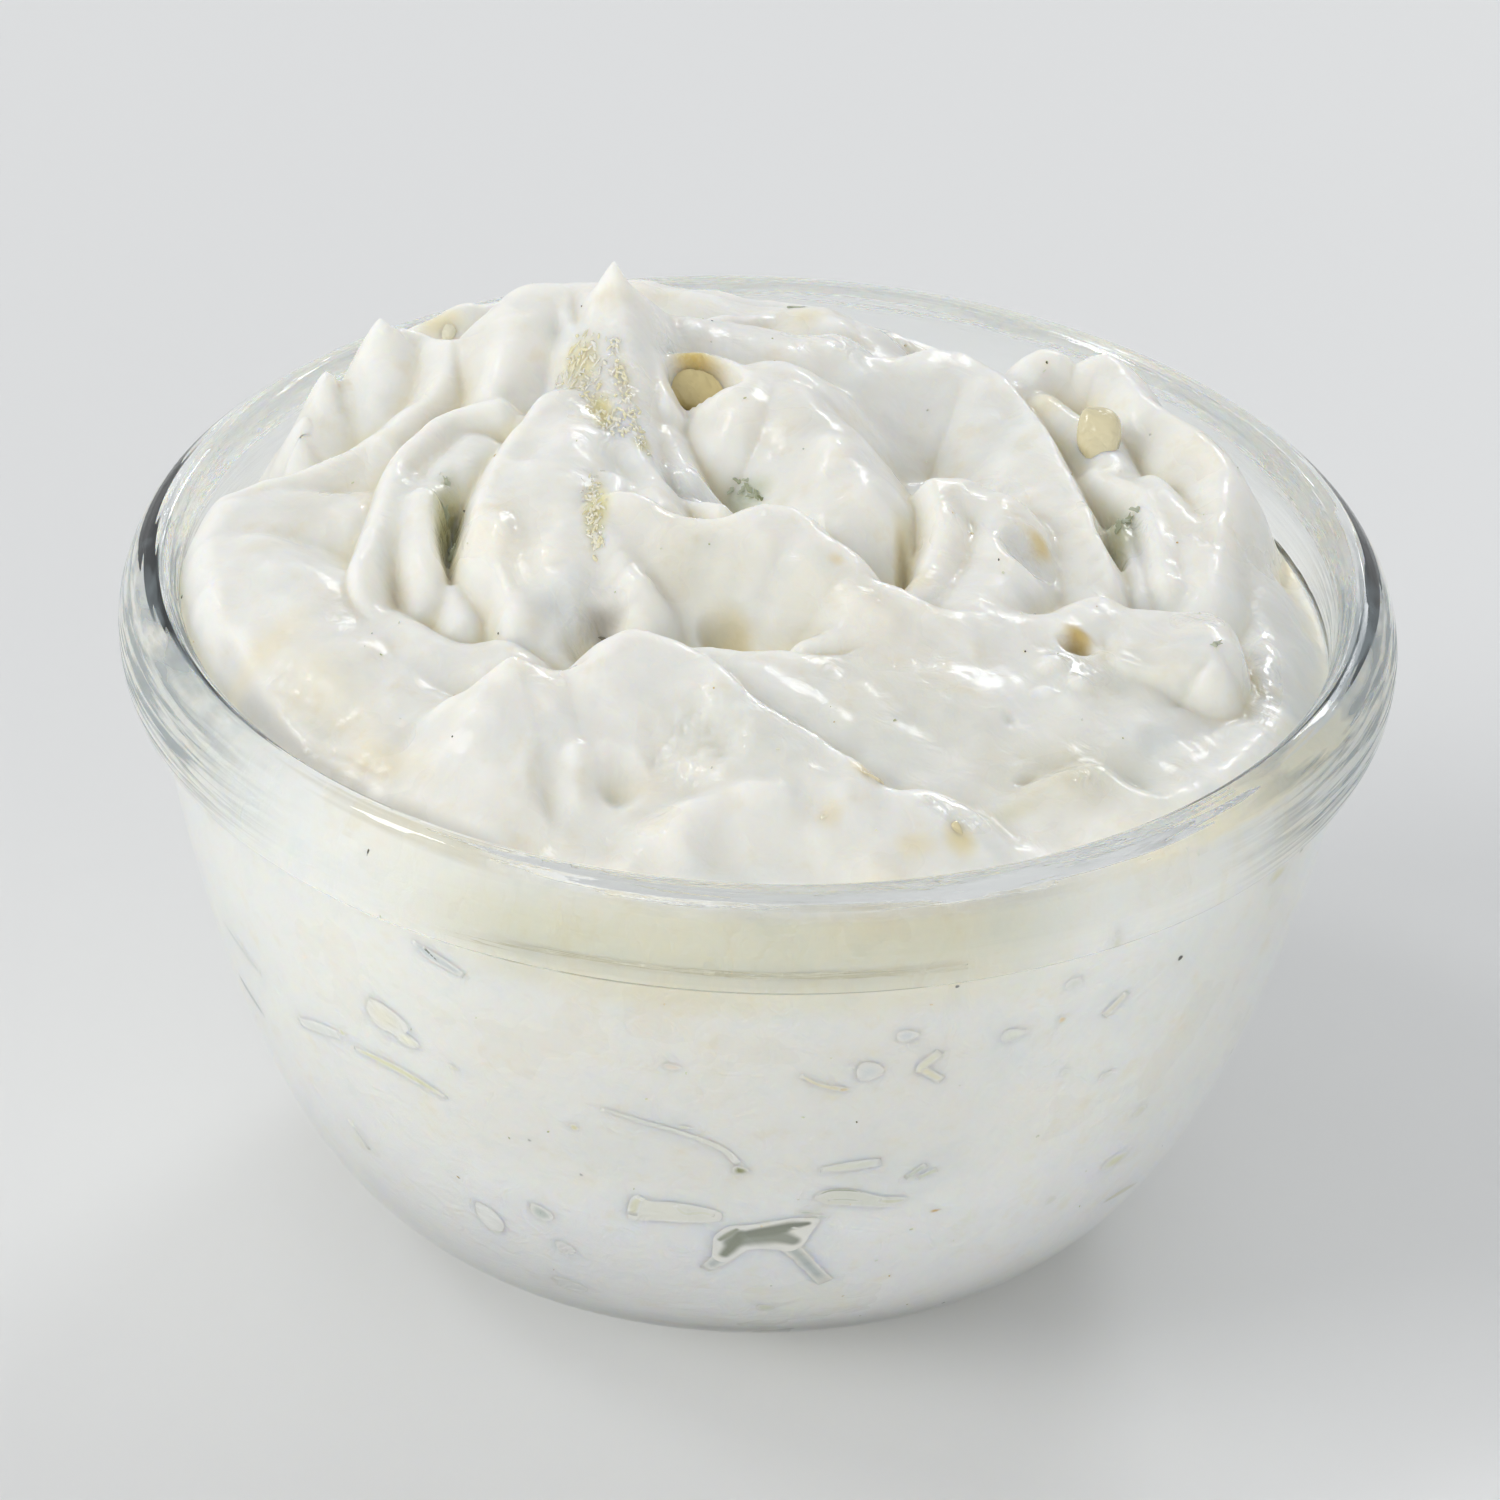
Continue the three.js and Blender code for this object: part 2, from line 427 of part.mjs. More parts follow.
function dipBody() {
  const n = TOP_CELLS;
  const points = [];
  const faces = [];
  const index = (i, j) => j * (n + 1) + i;
  for (let j = 0; j <= n; j++) {
    for (let i = 0; i <= n; i++) {
      const { radius, angle } = discPoint(2 * i / n - 1, 2 * j / n - 1);
      const direction = [Math.cos(angle), Math.sin(angle)];
      const wall = insideRadius(contactHeight(...direction));
      points.push(surfacePoint(radius * wall * direction[0], radius * wall * direction[1]));
    }
  }
  // Each cell is split along its shorter diagonal, which follows the ridges.
  const span = (a, b) => Math.hypot(...points[a].map((value, k) => value - points[b][k]));
  for (let j = 0; j < n; j++) {
    for (let i = 0; i < n; i++) {
      const [a, b, c, d] = [index(i, j), index(i + 1, j), index(i + 1, j + 1), index(i, j + 1)];
      if (span(a, c) < span(b, d)) faces.push([a, b, c], [a, c, d]);
      else faces.push([a, b, d], [b, c, d]);
    }
  }
  // The edge of the grid, counter-clockwise, then rows of it down to the glass floor.
  let ring = [];
  for (let i = 0; i < n; i++) ring.push(index(i, 0));
  for (let j = 0; j < n; j++) ring.push(index(n, j));
  for (let i = n; i > 0; i--) ring.push(index(i, n));
  for (let j = n; j > 0; j--) ring.push(index(0, j));
  for (let row = 0; row < SIDE_ROWS; row++) {
    const [radius, height] = besideWall(1 - row / (SIDE_ROWS - 1));
    const next = ring.map((k) => {
      const scale = radius / Math.hypot(points[k][0], points[k][1]);
      points.push([points[k][0] * scale, points[k][1] * scale, height]);
      return points.length - 1;
    });
    ring.forEach((top, k) => {
      const after = (k + 1) % ring.length;
      faces.push([top, next[k], ring[after]], [ring[after], next[k], next[after]]);
    });
    ring = next;
  }
  points.push([0, 0, FLOOR_TOP + CLEARANCE]);
  const centre = points.length - 1;
  ring.forEach((k, i) => faces.push([k, centre, ring[(i + 1) % ring.length]]));
  const geometry = new THREE.BufferGeometry();
  geometry.setAttribute('position', new THREE.Float32BufferAttribute(points.flat(), 3));
  geometry.setIndex(faces.flat());
  return geometry;
}

function cucumberBit({ at, size, turn, lift }) {
  const bit = new THREE.CylinderGeometry(0.5, 0.42, 1, 6, 1);
  bit.rotateX(Math.PI / 2);
  bit.scale(size[0] * 1.1, size[1] * 1.1, size[2]);
  bit.rotateZ(radians(turn));
  const [, , height] = surfacePoint(...at);
  bit.translate(at[0], at[1], height + lift);
  return bit;
}

// ---- Solids ------------------------------------------------------------------------

// The geometry with only its positions, and one vertex where several meet.
function joined(geometry) {
  const bare = geometry.clone();
  bare.deleteAttribute('normal');
  bare.deleteAttribute('uv');
  return mergeVertices(bare, 1e-4);
}

function solid(geometry) {
  const bare = joined(geometry);
  return new wasm.Manifold(new wasm.Mesh({
    numProp: 3,
    vertProperties: Float32Array.from(bare.attributes.position.array),
    triVerts: Uint32Array.from(bare.index.array),
  }));
}

function fused(base, others) {
  const whole = others.reduce((sum, geometry) => sum.add(solid(geometry)), solid(base));
  const mesh = whole.getMesh();
  const geometry = new THREE.BufferGeometry();
  geometry.setAttribute('position', new THREE.BufferAttribute(mesh.vertProperties, 3));
  geometry.setIndex(new THREE.BufferAttribute(mesh.triVerts, 1));
  return geometry;
}

function piece(name, geometry, material) {
  geometry.computeVertexNormals();
  const mesh = new THREE.Mesh(geometry, new THREE.MeshStandardMaterial(material));
  mesh.name = name;
  return mesh;
}

const group = new THREE.Group();
group.add(piece('bowl', bowlGeometry(), {
  color: 0xdfe8e6, roughness: 0.05, metalness: 0, transparent: true, opacity: 0.35,
}));
group.add(piece('dip', fused(dipBody(), CUCUMBER_BITS.map(cucumberBit)), {
  color: 0xf3efe4, roughness: 0.4, metalness: 0,
}));

export default group;
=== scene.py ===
# %% [markdown]
# # A glass bowl heaped with tzatziki
#
# The object is one small clear bowl with a thick rolled rim, and the dip in it: strained
# yoghurt with cut cucumber and dill, dropped in by the spoon and left in folds, lobes and
# one pulled-up peak. Where the dip lies against the glass it wets it, so no air shows
# between them, and cucumber and dill press against the inside of the wall.
#
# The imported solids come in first. They are the measure of everything: each piece below
# stands for one of them, or sits on one.

# %% Load the frame
import json
import math

import bpy
import numpy as np
from mathutils import Matrix, Vector

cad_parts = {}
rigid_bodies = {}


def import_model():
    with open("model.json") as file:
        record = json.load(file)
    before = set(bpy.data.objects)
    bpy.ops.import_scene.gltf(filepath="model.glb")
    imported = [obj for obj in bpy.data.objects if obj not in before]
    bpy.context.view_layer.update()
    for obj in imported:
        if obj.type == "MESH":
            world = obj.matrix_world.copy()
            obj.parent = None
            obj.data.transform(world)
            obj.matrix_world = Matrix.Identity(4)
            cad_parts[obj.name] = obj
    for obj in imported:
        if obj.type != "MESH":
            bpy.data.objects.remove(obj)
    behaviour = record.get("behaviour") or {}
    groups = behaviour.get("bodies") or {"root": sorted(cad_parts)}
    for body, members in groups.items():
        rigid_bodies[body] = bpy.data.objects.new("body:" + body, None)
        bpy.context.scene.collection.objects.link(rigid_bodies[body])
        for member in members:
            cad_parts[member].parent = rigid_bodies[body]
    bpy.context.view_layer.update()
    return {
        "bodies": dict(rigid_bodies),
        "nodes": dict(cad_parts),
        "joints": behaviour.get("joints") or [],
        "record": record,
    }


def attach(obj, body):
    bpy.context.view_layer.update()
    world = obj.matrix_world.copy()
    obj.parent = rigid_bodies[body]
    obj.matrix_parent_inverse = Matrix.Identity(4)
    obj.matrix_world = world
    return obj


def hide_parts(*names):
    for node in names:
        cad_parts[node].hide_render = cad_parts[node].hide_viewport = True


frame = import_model()
MM = 0.001

# %% [markdown]
# ## Driving sizes
#
# All sizes are in millimetres and are turned into metres when a mesh is made. The glass
# is described by two curves, one for each face of the wall, and by the rim's roll. The
# same values drove the solids, so the fine bowl falls on the plain one.

# %% Sizes of the bowl
RIM_RADIUS = 54.0
BOWL_HEIGHT = 57.4
RIM_HALF_HEIGHT = 5.3
RIM_OUTER_HALF_WIDTH = 3.3
RIM_INNER_HALF_WIDTH = 2.3
FOOT_RADIUS = 28.2
FOOT_RING_WIDTH = 6.4
FOOT_RECESS = 0.7
FLOOR_TOP = 4.5
FLOOR_RADIUS = 24.0
CREST_RADIUS = RIM_RADIUS - RIM_OUTER_HALF_WIDTH
CREST_MIDDLE = BOWL_HEIGHT - RIM_HALF_HEIGHT
OUTER_WALL = np.array([[FOOT_RADIUS, 0], [40.8, 2.1], [47.4, 28.3], [51.3, 48.2]])
INNER_WALL = np.array([[FLOOR_RADIUS, FLOOR_TOP], [38.5, 4.7], [44.8, 28.5], [48.2, 47.5]])


def bezier(points, t):
    """Points of a cubic curve at the shares t, as rows of radius and height."""
    t = np.atleast_1d(np.asarray(t, float))[:, None]
    s = 1 - t
    return s**3 * points[0] + 3 * s * s * t * points[1] + 3 * s * t * t * points[2] + t**3 * points[3]


print("wall is", round(float(bezier(OUTER_WALL, 0.6)[0, 0] - bezier(INNER_WALL, 0.6)[0, 0]), 2), "mm thick half-way up")

# %% [markdown]
# ## Small tools
#
# Meshes are made straight from arrays of points and faces, which is quick and exact, and
# keeps each object at the origin with its place in its mesh. Materials are made of nodes;
# a short helper adds one node and sets its plain values.


# %% Helpers for meshes and nodes
def mesh_piece(name, points, faces, material, smooth=True):
    """An object from points in millimetres and faces, with one material."""
    mesh = bpy.data.meshes.new(name)
    mesh.from_pydata((np.asarray(points, float) * MM).tolist(), [], [tuple(map(int, f)) for f in faces])
    mesh.polygons.foreach_set("use_smooth", [smooth] * len(mesh.polygons))
    mesh.materials.append(material)
    mesh.update()
    piece = bpy.data.objects.new(name, mesh)
    bpy.context.scene.collection.objects.link(piece)
    return piece


def new_material(name):
    """A material with only its Principled shader, and its node tree."""
    material = bpy.data.materials.new(name)
    material.use_nodes = True
    return material, material.node_tree, material.node_tree.nodes["Principled BSDF"]


def add(tree, kind, **values):
    """One node of a tree. Values name its settings, or its inputs by their plain name."""
    node = tree.nodes.new(kind)
    for key, value in values.items():
        if hasattr(node, key):
            setattr(node, key, value)
        else:
            node.inputs[key.replace("_", " ")].default_value = value
    return node


def colour_ramp(tree, factor, stops):
    """A ramp from a factor socket, with (place, colour) stops."""
    ramp = tree.nodes.new("ShaderNodeValToRGB")
    elements = ramp.color_ramp.elements
    while len(elements) < len(stops):
        elements.new(0.5)
    for element, (place, colour) in zip(elements, stops):
        element.position = place
        element.color = (*colour, 1)
    tree.links.new(factor, ramp.inputs["Fac"])
    return ramp.outputs["Color"]


def ease(value):
    """The smooth step from 0 to 1."""
    value = np.clip(value, 0, 1)
    return value * value * (3 - 2 * value)


print("helpers ready")

# %% [markdown]
# ## The camera
#
# It looks down at about 31 degrees from the front, from almost a metre away through a long
# lens, so the rim's ellipse is nearly free of perspective. It is turned a little about its
# own axis, which lets the bowl's right side sit lower.

# %% Camera
CAMERA_ELEVATION = 0.5423
CAMERA_DISTANCE = 986.6
CAMERA_ROLL = 0.0401
AIM = np.array([-0.28, 0.0, 39.56])
LENS = 278.4

ahead = Vector((0, math.cos(CAMERA_ELEVATION), -math.sin(CAMERA_ELEVATION)))
flat_up = Vector((0, math.sin(CAMERA_ELEVATION), math.cos(CAMERA_ELEVATION)))
flat_right = Vector((1, 0, 0))
right = math.cos(CAMERA_ROLL) * flat_right + math.sin(CAMERA_ROLL) * flat_up
up = -math.sin(CAMERA_ROLL) * flat_right + math.cos(CAMERA_ROLL) * flat_up
camera_data = bpy.data.cameras.new("camera")
camera_data.lens = LENS
camera_data.sensor_width = 36
camera = bpy.data.objects.new("camera", camera_data)
bpy.context.scene.collection.objects.link(camera)
place = (Vector(AIM) - CAMERA_DISTANCE * ahead) * MM
turn = Matrix((right, up, -ahead)).transposed()
camera.matrix_world = Matrix.Translation(place) @ turn.to_4x4()
bpy.context.scene.camera = camera
print("camera at", [round(v, 3) for v in place])

# %% [markdown]
# ## The glass
#
# Clear pressed glass: no colour in a thin wall, a breath of green where one looks through a
# lot of it, and a fire-polished, glossy skin. A real refracting shader is used, since the
# rim is thick and bends what lies behind it. Light that falls through glass would be slow
# and noisy to follow, so for shadow rays the wall counts as nearly clear.
#
# Polishing leaves fine lines that run along the roll. One noise, drawn out along the rim,
# makes them as a very low bump all round. The same noise draws faint grey streaks of
# painted shade on the left and right of the front half, where a real rim gathers the dark
# of the room. An empty studio has no room to gather, so this painted dark is put on the
# glass, at fixed places on it, and the rest of the rim is nearly plain.

# %% Glass material
GLASS_IOR = 1.47
# the lines' noise: how fine it is across and up, and how much a step outwards counts as one upwards
LINES_ACROSS, LINES_UP, LINES_SLANT = 110.0, 2400.0, 0.64
LINE_DEPTH = 0.00003
ROLL_BEGINS, ROLL_FULL = 0.0475, 0.0515
# painted shade: the grey of the rim's streaks, standing for the dark a real rim gathers
PAINTED_STREAK_GREY = (0.27, 0.31, 0.325, 1)


def multiplied(tree, first, second):
    """The product of a socket and another socket or a number."""
    times = add(tree, "ShaderNodeMath", operation="MULTIPLY")
    tree.links.new(first, times.inputs[0])
    if isinstance(second, float):
        times.inputs[1].default_value = second
    else:
        tree.links.new(second, times.inputs[1])
    return times.outputs[0]


def ramped(tree, source, start, end, least=0.0, most=1.0):
    """A socket's value moved from one range to another."""
    reach = add(tree, "ShaderNodeMapRange", From_Min=start, From_Max=end, To_Min=least, To_Max=most)
    tree.links.new(source, reach.inputs["Value"])
    return reach.outputs["Result"]


def rim_lines(tree, x, y, z):
    """Noise in fine lines that run round the rim."""
    level = add(tree, "ShaderNodeCombineXYZ")
    tree.links.new(x, level.inputs["X"])
    tree.links.new(y, level.inputs["Y"])
    radius = add(tree, "ShaderNodeVectorMath", operation="LENGTH")
    tree.links.new(level.outputs[0], radius.inputs[0])
    skew = add(tree, "ShaderNodeMath", operation="MULTIPLY_ADD")
    tree.links.new(radius.outputs["Value"], skew.inputs[0])
    skew.inputs[1].default_value = LINES_SLANT
    tree.links.new(z, skew.inputs[2])
    drawn_out = add(tree, "ShaderNodeCombineXYZ")
    for axis, source, fineness in zip("XYZ", (x, y, skew.outputs[0]), (LINES_ACROSS, LINES_ACROSS, LINES_UP)):
        tree.links.new(multiplied(tree, source, fineness), drawn_out.inputs[axis])
    lines = add(tree, "ShaderNodeTexNoise", Scale=1.0, Detail=2.0, Roughness=0.5, Distortion=0.3)
    tree.links.new(drawn_out.outputs[0], lines.inputs["Vector"])
    return lines.outputs["Fac"]


def painted_streak_amount(tree, x, y, lines, on_roll):
    """How much painted shade the glass gets: streaky, on the roll only, left and right of the front half."""
    sideways = add(tree, "ShaderNodeMath", operation="ABSOLUTE")
    tree.links.new(x, sideways.inputs[0])
    streaks = ramped(tree, lines, 0.42, 0.62)
    amount = on_roll
    for source, start, end, least, most in (
            (sideways.outputs[0], 0.038, 0.047, 0.05, 0.74),
            (y, 0.012, -0.002, 0.1, 1.0),
            (y, -0.040, -0.026, 0.1, 1.0),
            (streaks, 0.0, 1.0, 0.12, 1.0)):
        amount = multiplied(tree, amount, ramped(tree, source, start, end, least, most))
    return amount


def mixed_shaders(tree, share, first, second):
    """Two shaders mixed by a socket's value."""
    mix = add(tree, "ShaderNodeMixShader")
    tree.links.new(share, mix.inputs["Fac"])
    tree.links.new(first, mix.inputs[1])
    tree.links.new(second, mix.inputs[2])
    return mix.outputs[0]


def glass_material():
    """Clear glass with the rim's lines and painted grey streaks, that lets shadow rays through."""
    material, tree, shader = new_material("clear_glass")
    tree.nodes.remove(shader)
    glass = add(tree, "ShaderNodeBsdfGlass", Color=(0.992, 0.998, 0.995, 1), Roughness=0.0, IOR=GLASS_IOR)
    clear = add(tree, "ShaderNodeBsdfTransparent", Color=(0.985, 0.99, 0.987, 1))
    # painted shade: a grey diffuse skin, mixed into the glass where the streaks are
    grey = add(tree, "ShaderNodeBsdfDiffuse", Color=PAINTED_STREAK_GREY)
    axes = add(tree, "ShaderNodeSeparateXYZ")
    tree.links.new(add(tree, "ShaderNodeTexCoord").outputs["Object"], axes.inputs[0])
    x, y, z = (axes.outputs[axis] for axis in "XYZ")
    lines = rim_lines(tree, x, y, z)
    on_roll = ramped(tree, z, ROLL_BEGINS, ROLL_FULL)
    skin = add(tree, "ShaderNodeBump", Distance=LINE_DEPTH)
    tree.links.new(on_roll, skin.inputs["Strength"])
    tree.links.new(lines, skin.inputs["Height"])
    tree.links.new(skin.outputs["Normal"], glass.inputs["Normal"])
    streaked = mixed_shaders(tree, painted_streak_amount(tree, x, y, lines, on_roll), glass.outputs[0], grey.outputs[0])
    shadow = add(tree, "ShaderNodeLightPath").outputs["Is Shadow Ray"]
    finished = mixed_shaders(tree, shadow, streaked, clear.outputs[0])
    tree.links.new(finished, tree.nodes["Material Output"].inputs["Surface"])
    return material


GLASS = glass_material()

# %% [markdown]
# ## The bowl
#
# A pressed bowl is a body of revolution. The Spin tool or a Screw modifier would turn a
# profile, but here the profile is worked out from formulas and its rings are joined
# directly, which leaves single points at the two poles and no seam. The rolled rim is an
# ellipse, wider on the outside, and a small fillet leads from the wall into its underside.

# %% Turn the bowl
BOWL_SIDES = 256
WALL_STEPS = 40
RIM_STEPS = 150
FILLET = 0.5


def rim_arc(start, end, steps):
    """Points of the rolled rim between two angles in degrees, 0 outwards and 90 up."""
    angle = np.radians(np.linspace(start, end, steps))
    half = np.where(np.cos(angle) > 0, RIM_OUTER_HALF_WIDTH, RIM_INNER_HALF_WIDTH)
    return np.stack([CREST_RADIUS + half * np.cos(angle), CREST_MIDDLE + RIM_HALF_HEIGHT * np.sin(angle)], 1)


def bowl_profile():
    """Radius and height from the middle of the underside round to the middle of the floor."""
    ring = FOOT_RADIUS - FOOT_RING_WIDTH
    under = np.array([[0, FOOT_RECESS], [ring * 0.5, FOOT_RECESS], [ring - 1.2, FOOT_RECESS], [ring - 0.5, 0.35],
                      [ring, 0.05], [ring + 0.4, 0.0], [FOOT_RADIUS - 1.5, 0.0], [FOOT_RADIUS - 0.4, 0.03]])
    outer = bezier(OUTER_WALL, np.linspace(0, 1, WALL_STEPS) ** 0.8)
    outer[0] = [FOOT_RADIUS + 0.3, 0.16]
    roll = rim_arc(-42, 180, RIM_STEPS)
    neck = (outer[-1] + roll[0]) / 2 + [-FILLET * 0.2, FILLET * 0.5]
    inner = bezier(INNER_WALL, np.linspace(1, 0, WALL_STEPS))
    floor = np.array([[FLOOR_RADIUS * 0.6, FLOOR_TOP], [FLOOR_RADIUS * 0.25, FLOOR_TOP], [0, FLOOR_TOP]])
    return np.vstack([under, outer, [neck], roll, inner, floor])


def turned(profile, sides):
    """Points and faces of a profile turned about Z. It starts and ends on the axis."""
    angle = np.linspace(0, 2 * np.pi, sides, endpoint=False)
    rings = profile[1:-1]
    points = np.stack([np.outer(rings[:, 0], np.cos(angle)), np.outer(rings[:, 0], np.sin(angle)),
                       np.repeat(rings[:, 1:], sides, axis=1)], -1).reshape(-1, 3)
    points = np.vstack([points, [0, 0, profile[0, 1]], [0, 0, profile[-1, 1]]])
    start, end, last = len(points) - 2, len(points) - 1, (len(rings) - 1) * sides
    faces = []
    for k in range(sides):
        after = (k + 1) % sides
        faces.append((start, after, k))
        faces.append((end, last + k, last + after))
        for row in range(len(rings) - 1):
            low, high = row * sides, (row + 1) * sides
            faces.append((low + k, low + after, high + after, high + k))
    return points, faces


print("bowl profile has", len(bowl_profile()), "points")

# %% [markdown]
# The roll of a pressed bowl is never optically true: the mould and the polishing flame
# leave fine waves that run along it, a hundredth of a millimetre deep. They can't be seen
# as relief, but they draw what the rim refracts out into streaks, so they are added here
# to the rim's points, along its normals.

# %% Waves in the rim's skin
RIM_WAVES = [(9, 0.014, 2, 0.4), (17, 0.009, 3, 2.1), (31, 0.0055, 5, 4.0), (47, 0.0025, 4, 1.2)]
WAVES_FROM_HEIGHT = 47.5


def rim_skin(points):
    """The bowl's points, with the roll's skin moved along its normal by slow waves."""
    angle = np.arctan2(points[:, 1], points[:, 0])
    outwards = np.hypot(points[:, 0], points[:, 1]) - CREST_RADIUS
    upwards = points[:, 2] - CREST_MIDDLE
    half = np.where(outwards > 0, RIM_OUTER_HALF_WIDTH, RIM_INNER_HALF_WIDTH)
    around = np.arctan2(upwards / RIM_HALF_HEIGHT, outwards / half)
    normal = np.stack([np.cos(around) / half, np.sin(around) / RIM_HALF_HEIGHT], 1)
    normal /= np.linalg.norm(normal, axis=1)[:, None]
    offset = sum(depth * np.sin(count * around + turns * angle + start + 1.4 * np.sin((turns + 1) * angle))
                 for count, depth, turns, start in RIM_WAVES)
    offset *= ease((points[:, 2] - WAVES_FROM_HEIGHT) / 2)
    sideways = offset * normal[:, 0]
    return points + np.stack([sideways * np.cos(angle), sideways * np.sin(angle), offset * normal[:, 1]], 1)


bowl_points, bowl_faces = turned(bowl_profile(), BOWL_SIDES)
bowl = mesh_piece("glass_bowl", rim_skin(bowl_points), bowl_faces, GLASS)
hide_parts("bowl")
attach(bowl, "root")
print("bowl faces", len(bowl.data.polygons))

# %% [markdown]
# ## The heap as a function
#
# A spoon leaves yoghurt in folds: rounded or sharp-crested ridges that meet in creases.
# Each fold here is a crest, a short curve through a few points, with a width on either
# side. Over any point of the table each fold has a height that falls away from its crest,
# and the dip's surface is the highest of them all, with the crease between two folds
# slightly rounded. Sculpting by hand would also do it, but the list says in plain sizes
# which fold is where, and can be changed one fold at a time.

# %% Folds and hollows of the heap
FALL = 6.0
VALLEY_ROUNDING = 0.4
MENISCUS = 2.6
CENTRE_HEIGHT = 58.5
CONTACT_HEIGHTS = [(0, 49.5), (20, 50), (40, 50.5), (60, 51.5), (75, 54), (110, 54.5), (130, 50.5), (168, 50.5),
                   (182, 55), (215, 54.5), (270, 53.5), (300, 53), (330, 52), (345, 51), (360, 49.5)]

